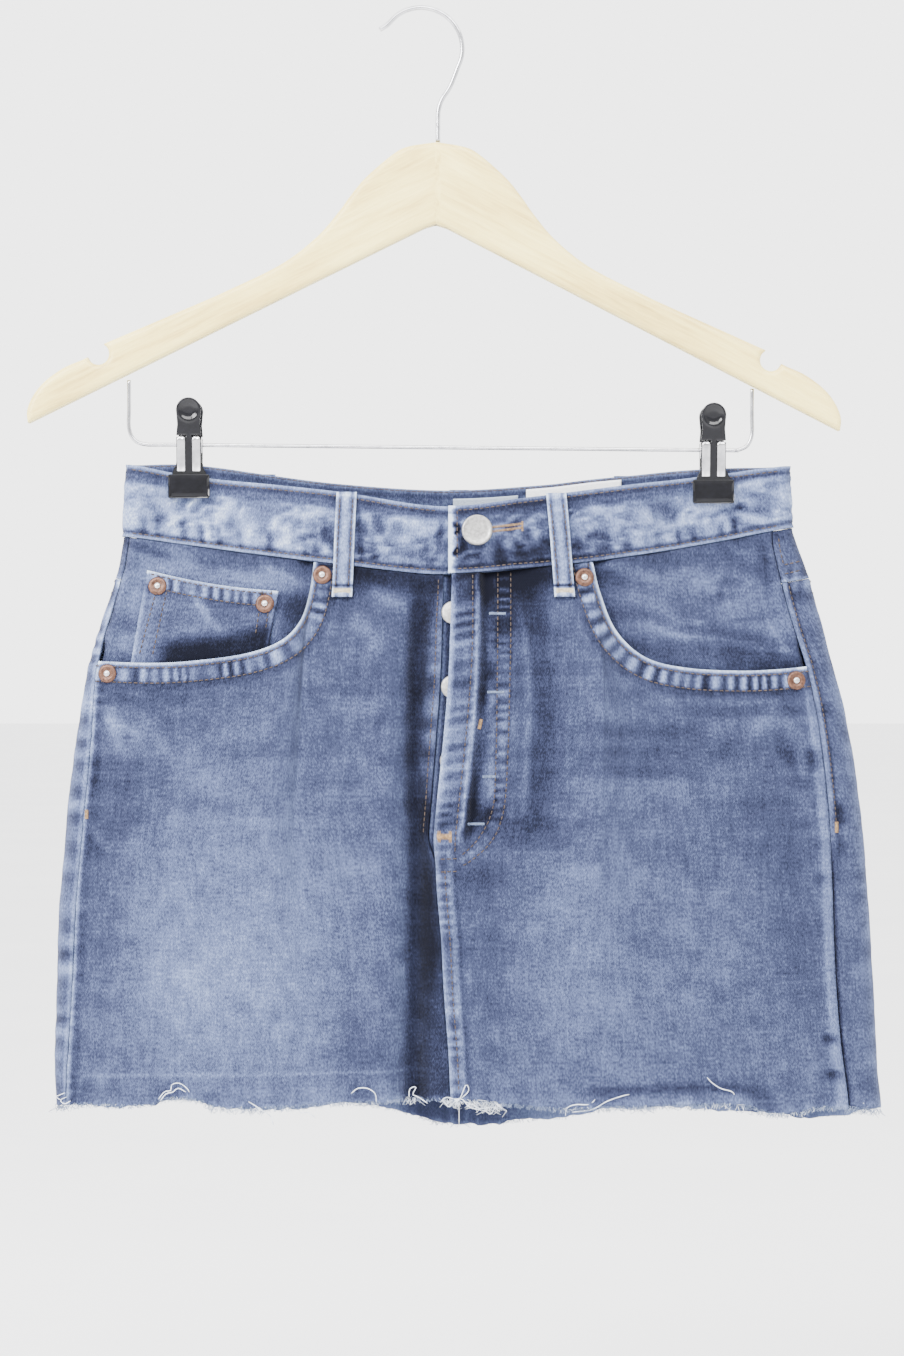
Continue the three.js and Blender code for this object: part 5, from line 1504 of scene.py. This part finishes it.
# Frayed hem: short weft ends all round, and longer loose threads
def fringe(face, left, right, per_mm, seed, lengths, lift):
    draw = np.random.default_rng(seed)
    count = int((right - left) * per_mm)
    away = -1 if face == "front" else 1
    x = draw.uniform(left, right, count)
    low = follow(HEM, "x", x, face) + draw.uniform(-0.3, 1.6, count)
    reach = draw.uniform(*lengths, count) * (1 + 1.3 * np.maximum(0, noise(x / 11, 0 * x, seed)))
    out = draw.uniform(0.1, 1.0, count)
    flat = np.zeros(count)
    root = on_cloth(face, x, low, lift) + np.stack((flat, away * out * 0.4, flat), axis=1)
    sideways = draw.normal(0, 0.55, count) * reach
    tip = root + np.stack((sideways, away * out * reach * 0.35, -reach * 0.8), axis=1)
    bend_x, bend_z = (draw.normal(0, spread, count) * reach for spread in (0.25, 0.2))
    bend = np.stack((bend_x, flat + away * 0.3, bend_z), axis=1)
    return list(np.stack((root, (root + tip) / 2 + bend, tip), axis=1))


LOOSE_THREADS = (
    ((-37.4, -591.3), (-33.9, -588.6), (-28.5, -588.4), (-24.5, -591.3), (-23.9, -596.2)),
    ((-6.3, -594.5), (-5.9, -590), (-2.4, -588.6), (-4.3, -592.7), (-1.6, -594), (3.8, -597.2)),
    ((11.9, -594.5), (15.2, -598.7), (17.9, -596), (21.3, -594), (24.6, -586.5), (26, -590), (21.9, -594)),
    ((10.6, -596.2), (13.8, -593.5), (18.6, -594.5), (22.7, -594.5), (26.7, -598.7), (34.8, -600.7),
     (38, -602.6), (40.7, -598)),
    ((22.9, -595.6), (27.8, -597.2), (32.1, -599.4), (38.6, -598.9), (42.9, -601)),
    ((78.4, -603.4), (79, -599.4), (83.8, -597.2), (91.3, -597.2), (94.3, -594.5)),
    ((81.9, -601.4), (92.7, -599.9), (100.8, -595.4), (110.2, -592.4), (112.9, -591.9)),
    ((155.3, -583.2), (158, -586.2), (162.7, -589.2), (168.7, -591), (171, -594), (173.5, -596)),
    ((-142.4, -595.4), (-138.9, -591.3), (-135.6, -590.6), (-134.9, -587.3), (-130.8, -586.5),
     (-126.8, -589.2), (-125.4, -591.3)),
    ((-141.3, -596.2), (-138.1, -592.4), (-134.3, -591.3), (-131.6, -589.2), (-127.3, -591.3)),
    ((-93.1, -596), (-87.7, -599.4), (-81, -604.1), (-79.7, -608.8)),
    ((-66.2, -600.5), (-64.8, -602.1), (-60.8, -601.8), (-56.8, -604.8)),
    ((-194.1, -592.9), (-198.4, -595.1), (-200, -596.2), (-196.3, -597.2)),
    ((-193, -595.1), (-196.8, -597.2), (-194.1, -598.9), (-190.9, -597.2)),
    ((243.8, -596.2), (247, -598.9), (248.6, -598.3), (245.4, -601)),
    ((241.1, -598.3), (244.3, -600.5), (248.1, -599.9)))


def short_fringe(face, lift, per_mm, seed, lengths, *spans):
    return [(face, left, right, per_mm, seed + k, lengths, lift) for k, (left, right) in enumerate(spans)]


SHORT, TUFT, LONG = (0.7, 2.2), (0.8, 2.4), (1.5, 5.0)
FRINGES = (
    ("fringe_front", THREAD_PALE, 0.17,
     [("front", -196, 12, 3.2, 3, SHORT, lift_left), ("front", 17, 230, 3.2, 4, SHORT, lift_right)]),
    ("fringe_white", THREAD_WHITE, 0.18,
     [("front", 12, 22, 5.0, 6, LONG, lift_right), ("front", 24, 44, 4.0, 10, (2.0, 6.0), lift_right),
      ("front", -8, -2, 4.0, 7, LONG, lift_left)]
     + short_fringe("front", lift_left, 0.7, 20, TUFT, (-142, -124), (-98, -84), (-38, -24), (-196, -160))
     + short_fringe("front", lift_right, 0.7, 30, TUFT, (70, 92), (104, 122), (150, 176), (196, 226))),
    ("fringe_back", THREAD_PALE, 0.17,
     [("back", -196, 246, 3.2, 5, SHORT, lift_back), ("front", -199, -194, 6, 8, (2.0, 4.5), lift_back),
      ("front", 231, 249, 5, 9, (1.6, 4.0), lift_back)]))


def build_fringe():
    for name, material, radius, rows in FRINGES:
        sew(name, [path for row in rows for path in fringe(*row)], material, radius, 3)
    loose = []
    for thread in LOOSE_THREADS:
        x, z = smooth_line(thread).points.T
        on_hem = on_cloth("front", x, np.maximum(z, -600), fixed(PANEL + 1.4))
        curl = 0.5 * np.sin(np.linspace(0, 9, len(x)))
        loose.append(np.stack((x, on_hem[:, 1] + curl, z), axis=1))
    sew("loose_threads", loose, THREAD_WHITE, 0.26)


# Turned metal trim
def turned(name, profile, place, slot, materials, node_name, segments, break_at=math.inf):
    """Turns a profile of radius and height about the normal at its place."""
    centre, normal = (Vector(value) for value in place)
    turn = Vector((0, 0, 1)).rotation_difference(normal.normalized())
    points, faces = [], []
    for radius, height in profile:
        for k in range(segments):
            angle = TAU * k / segments
            local = Vector((radius * math.cos(angle), radius * math.sin(angle), height))
            points.append(tuple(centre + turn @ local))
    for ring in range(len(profile) - 1):
        for k in range(segments):
            a, b = ring * segments + k, ring * segments + (k + 1) % segments
            faces.append((a, b, b + segments, a + segments))
    faces.append(tuple(reversed(range(segments))))
    last = (len(profile) - 1) * segments
    faces.append(tuple(last + k for k in range(segments)))
    piece = link(name, points, faces)
    settle_piece(piece, slot, materials, node_name)
    for face in piece.data.polygons:
        if min(face.vertices) >= break_at * segments:
            face.material_index = 1


def rounded(points, bevel):
    """Profile corners cut by small bevels, so that edges catch the light."""
    result = [points[0]]
    for before, here, after in zip(points, points[1:], points[2:]):
        for other in (before, after):
            share = min(0.45, bevel / math.dist(here, other))
            result.append((mix(here[0], other[0], share), mix(here[1], other[1], share)))
    return result + [points[-1]]


RIVETS = (("rivet_left_inner", -53.4, -311.0, False), ("rivet_left_outer", -170.4, -364.4, False),
          ("rivet_right_inner", 88.9, -312.4, False), ("rivet_right_outer", 204.0, -368.2, False),
          ("rivet_coin_left", -143.8, -316.6, True), ("rivet_coin_right", -84.6, -326.4, True))
FLY_BUTTONS = (("fly_button_top", 17.6, -331.5), ("fly_button_middle", 17.4, -371.5),
               ("fly_button_bottom", 16.8, -411.5))


WAIST_BUTTON_AT = (30.6, -287.4)


def lathe_profile(radius, bevel, *points):
    """Points of radius share and height, from the axis at the foot to the axis at the top."""
    middle = [(radius * share, height) for share, height in points[:-1]]
    return rounded([(0.01, 0), *middle, (0.01, points[-1])], bevel)


RIVET = lathe_profile(5.1, 0.2, (1, 0), (1, 0.55), (0.86, 1.15), (0.62, 1.2), (0.44, 0.75), (0.34, 0.75),
                      (0.32, 1.55), (0.16, 1.95), 2.0)
WAIST_BUTTON = lathe_profile(8.4, 0.35, (0.86, 0), (1, 0.9), (1, 1.8), (0.95, 2.8), (0.84, 2.9), (0.78, 2.45),
                             (0.4, 2.55), 2.6)
FLY_BUTTON = lathe_profile(6.3, 0.3, (2.4 / 6.3, 0), (2.4 / 6.3, 1.0), (1, 1.0), (1, 2.2), (0.86, 2.9), 2.9)


def seat(x, z, lift):
    phi = front_angle(x, z)
    normal = ring_normal(phi, z)
    return ring_point(phi, z) + normal * lift, normal


def build_trim():
    for name, x, z, on_coin in RIVETS:
        lift = (coin_base(x, z) if on_coin else 0.0) + PANEL + GAP + 0.25
        turned(f"copper_{name}", RIVET, seat(x, z, lift), "rivet_copper", [COPPER, NICKEL], name, 36, 13)
    place = seat(*WAIST_BUTTON_AT, BAND_OUTER + BAND_LIFT + GAP + 0.5)
    turned("metal_waist_button", WAIST_BUTTON, place, "button_metal", [SILVER], "waist_button", 64)
    for name, x, z in FLY_BUTTONS:
        place = seat(x, z, UNDERLAP_OUTER + GAP)
        turned(f"metal_{name}", FLY_BUTTON, place, "button_metal", [SILVER], name, 40)


# Hanger
HANGER_X, HANGER_TILT = 9.3, 0.0096
WOOD_THICKNESS, WOOD_ROUND = 12, 3.2
DOME = ((0, -73.0), (15.5, -75.6), (24.0, -80.0), (38.5, -92.6), (47.5, -103.6), (53.5, -112.0),
        (66.0, -126.4), (86.0, -141.6), (120.0, -158.4))
NOTCH_X, NOTCH_Z, NOTCH_RADIUS = 184.4, -190.8, 6.0
NOTCH_START, NOTCH_TURN = math.pi - 1.09, 3.9
ARM_END = ((193.0, -194.2), (203.0, -198.6), (213.0, -205.8), (219.5, -213.6), (223.0, -222.0),
           (222.6, -229.2))
APEX = -116.4
HOOK_WIRE, HOOK_RADIUS = 1.3, 22.7
HOOK_CENTRE = HOOK_WIRE - HOOK_RADIUS
HOOK_STEM = ((15.9, -42.3), (11.6, -49.0), (9.6, -55.0), (9.3, -62.0), (9.3, -72.5))
BAR_WIRE, BAR_BEND, BAR_LEFT, BAR_RIGHT = 1.1, 9, -160.3, 181.7


def wood_outline():
    dome = [tuple(p) for p in smooth_line(DOME).points]
    notch = []
    for angle in np.linspace(NOTCH_START, NOTCH_START + NOTCH_TURN, 25):
        notch.append((NOTCH_X + NOTCH_RADIUS * math.cos(angle), NOTCH_Z + NOTCH_RADIUS * math.sin(angle)))
    end = [tuple(p) for p in smooth_line(ARM_END).points]
    slope = (ARM_END[-1][1] - APEX + 3.4) / (ARM_END[-1][0] - 6)
    lower = [(x, APEX - 3.4 + slope * (x - 6)) for x in np.linspace(216, 6, 60)]
    half = dome + notch + end + lower
    return half + [(0, APEX - 1.6)] + [(-x, z) for x, z in reversed(half[1:])]


def plate(outline, thickness, roundness, insets, step, dent=None):
    """Both faces are Delaunay sheets over the outline; their depth falls off round the edge."""
    closed = Line(np.concatenate((outline, outline[:1])), math.inf)
    heading = np.roll(outline, -1, axis=0) - np.roll(outline, 1, axis=0)
    heading /= np.linalg.norm(heading, axis=1, keepdims=True)
    inward = np.stack((heading[:, 1], -heading[:, 0]), axis=1)
    low, high = outline.min(axis=0), outline.max(axis=0)
    columns, rows = np.arange(low[0] + step / 2, high[0], step), np.arange(low[1] + step / 2, high[1], step)
    grid = np.stack(np.meshgrid(columns, rows), axis=-1).reshape(-1, 2)
    kept = []
    for ring, inset in [(outline + inward * inset, inset) for inset in insets] + [(grid, roundness * 1.2)]:
        away, _ = closed.measure(ring[:, 0], ring[:, 1])
        kept.append(ring[np.abs(away) > 0.9 * inset])
    count = len(outline)
    edges = [(k, (k + 1) % count) for k in range(count)]
    flat = [Vector(p) for p in np.concatenate([outline, *kept])]
    spots, _, triangles, origins, _, _ = delaunay_2d_cdt(flat, edges, [], 1, 1e-5)
    spots = np.array([tuple(p) for p in spots])
    order = {original: k for k, group in enumerate(origins) for original in group}
    away, _ = closed.measure(spots[:, 0], spots[:, 1])
    inset = np.clip(np.abs(away), 0, roundness)
    depth = thickness / 2 - roundness + np.sqrt(np.maximum(0, roundness ** 2 - (roundness - inset) ** 2))
    front = np.stack((spots[:, 0], -depth, spots[:, 1]), axis=1)
    back = front * (1, -1, 1)
    if dent:
        front[:, 1] += dent(spots[:, 0], spots[:, 1])
    total = len(spots)
    faces = [tuple(t) for t in triangles] + [tuple(k + total for k in reversed(t)) for t in triangles]
    for a, b in edges:
        a, b = order[a], order[b]
        faces.append((b, a, a + total, b + total))
    return np.concatenate((front, back)), faces


def build_wood():
    outline = wood_outline()
    outline = Line(outline + outline[:1], 1.1).points[:-1]
    points, faces = plate(outline, WOOD_THICKNESS, WOOD_ROUND, (0.16, 0.5, 1.1, 2.0, 3.2), 4.0)
    cos, sin = math.cos(HANGER_TILT), math.sin(HANGER_TILT)
    x, z = points[:, 0].copy(), points[:, 2].copy()
    points[:, 0], points[:, 2] = x * cos + z * sin + HANGER_X, -x * sin + z * cos
    piece = link("wood_arm", points, faces)
    slant = math.atan2(APEX - ARM_END[-1][1], ARM_END[-1][0])
    along = np.abs(x) * math.cos(slant) - z * math.sin(slant)
    across = np.abs(x) * math.sin(slant) + z * math.cos(slant)
    paint(piece, "grain", "FLOAT_VECTOR", np.stack((along * np.sign(x + 1e-6), points[:, 1], across), axis=1))
    settle_piece(piece, "hanger_wood", [WOOD], "hanger_wood")


def tube(name, points, radius, node_name, sides):
    x, z = smooth_line(points).points.T
    path = np.stack((x, 0 * x, z), axis=1)
    mesh_points, faces = thread_mesh([path], radius, sides, end_size=1.0)
    settle_piece(link(name, mesh_points, faces), "hanger_wire", [WIRE], node_name)


def build_wires():
    arc = []
    for angle in np.linspace(math.pi * 0.8, -math.pi * 0.16, 10):
        arc.append((HOOK_RADIUS * math.cos(angle), HOOK_CENTRE + HOOK_RADIUS * math.sin(angle)))
    tube("wire_hook", [(-22.6, HOOK_CENTRE + 10.6), *arc, *HOOK_STEM], HOOK_WIRE, "hanger_hook", 16)

    def level(x):
        return -238.8 - 0.0101 * (x + 127.0)

    def underside(x):
        slope = (ARM_END[-1][1] - APEX) / ARM_END[-1][0]
        return APEX + slope * abs(x - HANGER_X) - HANGER_TILT * (x - HANGER_X)

    def leg(x, inwards):
        high, low = underside(x), level(x)
        return [(x, high - 2.6), (x, mix(high, low, 0.5)), (x, low + BAR_BEND),
                (x + inwards * BAR_BEND * 0.3, low + BAR_BEND * 0.3), (x + inwards * BAR_BEND, low)]

    inner = [(x, level(x)) for x in (-136, -60, 20, 100, 168)]
    points = [*leg(BAR_LEFT, 1), *inner, *reversed(leg(BAR_RIGHT, -1))]
    tube("wire_clip_bar", points, BAR_WIRE, "clip_bar", 12)


LEVER_WIDTH, LEVER_THICKNESS, LEVER_LEAN, LEAN_FROM, HEAD_HEIGHT = 13.6, 1.5, 0.11, 7, 41.6
PAD_WIDTH, PAD_THICKNESS, PAD_HEIGHT, PAD_FACE = 22.5, 3.4, 13, 3.05
DISH_RADIUS, DISH_DEPTH = 5.1, 1.15
NECK_HALF, NECK_LOW, NECK_HIGH = 1.4, 26.95, 27.85


def box_outline(half_width, half_height, corner):
    points = []
    for turn, (right, up) in enumerate(((1, 1), (-1, 1), (-1, -1), (1, -1))):
        for angle in turn * math.pi / 2 + np.linspace(0, math.pi / 2, 5):
            points.append((right * (half_width - corner) + corner * math.cos(angle),
                           up * (half_height - corner) + corner * math.sin(angle)))
    return np.array(points)[::-1]


def lever_outline():
    half = LEVER_WIDTH / 2
    head = [(half * math.cos(a), HEAD_HEIGHT + half * math.sin(a)) for a in np.linspace(0, math.pi, 40)]
    right = [(9.2, 4.5), (9.2, 7.5), (8.2, 9.6), (7.2, 11.6), (half, 13.4), (half, NECK_LOW),
             (NECK_HALF, NECK_LOW), (NECK_HALF, NECK_HIGH), (half, NECK_HIGH), (6.2, 34.0)]
    outline = right + head + [(-x, z) for x, z in reversed(right)]
    return Line(outline + outline[:1], 0.6).points[:-1][::-1]


def dish(x, z):
    away = np.hypot(x, z - HEAD_HEIGHT)
    bowl = DISH_DEPTH * (1 - (away / DISH_RADIUS) ** 4)
    return np.where(away < DISH_RADIUS, bowl, 0.0) - 0.25 * bump(away, DISH_RADIUS + 0.8, 0.6)


def build_jaw(name, turn, centre_x, centre_z):
    lever, lever_faces = plate(lever_outline(), LEVER_THICKNESS, 0.4, (0.12, 0.4), 0.8, dish)
    lever[:, 1] -= PAD_FACE + LEVER_THICKNESS / 2 + LEVER_LEAN * (lever[:, 2] - LEAN_FROM)
    pad_outline = box_outline(PAD_WIDTH / 2, PAD_HEIGHT / 2, 0.8)
    pad, pad_faces = plate(pad_outline, PAD_THICKNESS, 0.3, (0.1, 0.3), 2.2)
    pad[:, 1] -= PAD_FACE + PAD_THICKNESS / 2
    faces = lever_faces + [tuple(k + len(lever) for k in face) for face in pad_faces]
    points = np.concatenate((lever, pad)) * (turn, turn, 1) + (centre_x, 0, centre_z)
    settle_piece(link(f"black_{name}", points, faces), "clip_black", [BLACK], name)


STRAP_MIDDLE, STRAP_HALF, STRAP_THICK = 4.15, 2.2, 0.55
COIL_RADIUS, COIL_LEVEL, COIL_PITCH, COIL_RINGS = 4.45, 22.9, 1.7, 97


def ring_faces(rings, sides, first):
    faces = []
    for ring in range(rings - 1):
        for k in range(sides):
            a, b = first + ring * sides + k, first + ring * sides + (k + 1) % sides
            faces.append((a, a + sides, b + sides, b))
    last = first + (rings - 1) * sides
    return faces + [tuple(range(first, first + sides)), tuple(reversed(range(last, last + sides)))]


def strap_path():
    """The straps' run as depth and level, with its width and its share of the thickness."""
    def face(z):
        return PAD_FACE + LEVER_THICKNESS + GAP + LEVER_LEAN * (z - LEAN_FROM)

    leg = [(face(z) + STRAP_THICK, z) for z in (8.2, 8.5, 12, 16, 20, 23, 25.0)]
    bend = [(face(26) + 0.5, 25.9), (face(26.6) + 0.2, 26.6), (face(27) - 0.3, 27.1), (face(27) - 1.0, 27.35),
            (2.5, 27.4)]
    half = np.array(leg + bend)
    path = np.concatenate((half * (-1, 1), half[::-1]))
    level = path[:, 1]
    shoulder = np.maximum(0, level - level.max() + STRAP_HALF)
    wide = np.sqrt(np.maximum(0.6, STRAP_HALF ** 2 - shoulder ** 2))
    wide[[0, -1]] *= 0.93
    return path, wide, np.interp(level, (8.2, 8.5, 26.6, 27.4), (0.75, 1.0, 1.0, 0.6))


def rounded_power(values, power):
    return np.sign(values) * np.abs(values) ** power


def build_spring(name, centre_x, centre_z):
    """Two straps with a shallow channel cross the neck; a coiled barrel sits between the jaws."""
    path, wide, thick = strap_path()
    heading = np.gradient(path, axis=0)
    heading /= np.linalg.norm(heading, axis=1, keepdims=True)
    around = np.linspace(0, TAU, 32, endpoint=False)
    across = rounded_power(np.cos(around), 0.7)
    out = rounded_power(np.sin(around), 0.6) * STRAP_THICK
    out = out - np.where(out > 0, 0.44 * bump(across, 0, 0.40), 0)
    points, faces = [], []
    for middle in (-STRAP_MIDDLE, STRAP_MIDDLE):
        faces += ring_faces(len(path), len(around), len(points) * len(around))
        for (y, z), (along_y, along_z), width, depth in zip(path, heading, wide, thick):
            rim = out * depth
            points.append(np.stack((middle + width * across, y - along_z * rim, z + along_y * rim), axis=1))
    reach = STRAP_MIDDLE + STRAP_HALF + 0.4
    faces += ring_faces(COIL_RINGS, len(around), len(points) * len(around))
    for x in np.linspace(-reach, reach, COIL_RINGS):
        radius = COIL_RADIUS - 0.24 * (1 - math.cos(TAU * x / COIL_PITCH))
        y, z = radius * np.cos(around), COIL_LEVEL + radius * np.sin(around)
        points.append(np.stack((0 * around + x, y, z), axis=1))
    points = np.concatenate(points) + (centre_x, 0, centre_z)
    settle_piece(link(f"chrome_{name}", points, faces), "clip_chrome", [CHROME], name)


def build_clips():
    for side, x, z in zip(("left", "right"), CLIPS["x"], CLIPS["z"]):
        build_jaw(f"clip_{side}_front_jaw", 1, x, z)
        build_jaw(f"clip_{side}_back_jaw", -1, x, z)
        build_spring(f"clip_{side}_spring", x, z)


# Floor and light
FLOOR_SIZE, FLOOR_LEVEL = 60, -0.86
LAMPS = (("key", (-1.5, -1.6, 0.8), (1.0, 1.0), 124), ("top", (0.2, -1.4, 1.2), (2.2, 0.7), 90))
LAMP_TARGET = (0.02, 0, -0.42)


def build_stage():
    bpy.ops.mesh.primitive_plane_add(size=FLOOR_SIZE, location=(0, 0, FLOOR_LEVEL))
    floor = bpy.context.object
    floor.name = "floor"
    stone = grained_material("pale_floor", (0.86, 0.86, 0.87), (0.90, 0.90, 0.905), 3, 0.7, 0.0, 0.0002)
    floor.data.materials.append(stone)
    floor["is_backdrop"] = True
    world = bpy.data.worlds.new("studio")
    world.use_nodes = True
    tree = world.node_tree
    direction = node(tree, "ShaderNodeSeparateXYZ")
    tree.links.new(node(tree, "ShaderNodeTexCoord").outputs["Generated"], direction.inputs[0])
    towards = maths(tree, "MULTIPLY", maths(tree, "ADD", direction.outputs[1], 0.75), 1.4, clamp=True)
    above = maths(tree, "MULTIPLY", maths(tree, "ADD", direction.outputs[2], 0.1), 0.8, clamp=True)
    level = maths(tree, "ADD", maths(tree, "MULTIPLY", maths(tree, "MAXIMUM", towards, above), 2.9), 1.1)
    background = tree.nodes["Background"]
    background.inputs["Color"].default_value = (1.0, 1.0, 1.0, 1)
    tree.links.new(level, background.inputs["Strength"])
    bpy.context.scene.world = world
    for name, place, size, power in LAMPS:
        light = bpy.data.lights.new(name, "AREA")
        light.shape, light.energy = "RECTANGLE", power
        light.size, light.size_y = size
        lamp = bpy.data.objects.new(name, light)
        lamp.location = place
        lamp.rotation_euler = (Vector(LAMP_TARGET) - Vector(place)).to_track_quat("-Z", "Y").to_euler()
        bpy.context.scene.collection.objects.link(lamp)


build_fronts()
build_underlap()
build_facing("left", FACING_LEFT)
build_facing("right", FACING_RIGHT)
build_coin_pocket()
build_backs()
build_waistband()
for loop in BELT_LOOPS:
    build_loop(*loop)
for label in LABELS:
    build_label(*label)
build_sewing()
build_fringe()
build_trim()
build_wood()
build_wires()
build_clips()
build_stage()

boxes = {"cad": cad_box, "visual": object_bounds()}
{name: [[float(value) for value in corner] for corner in box] for name, box in boxes.items()}
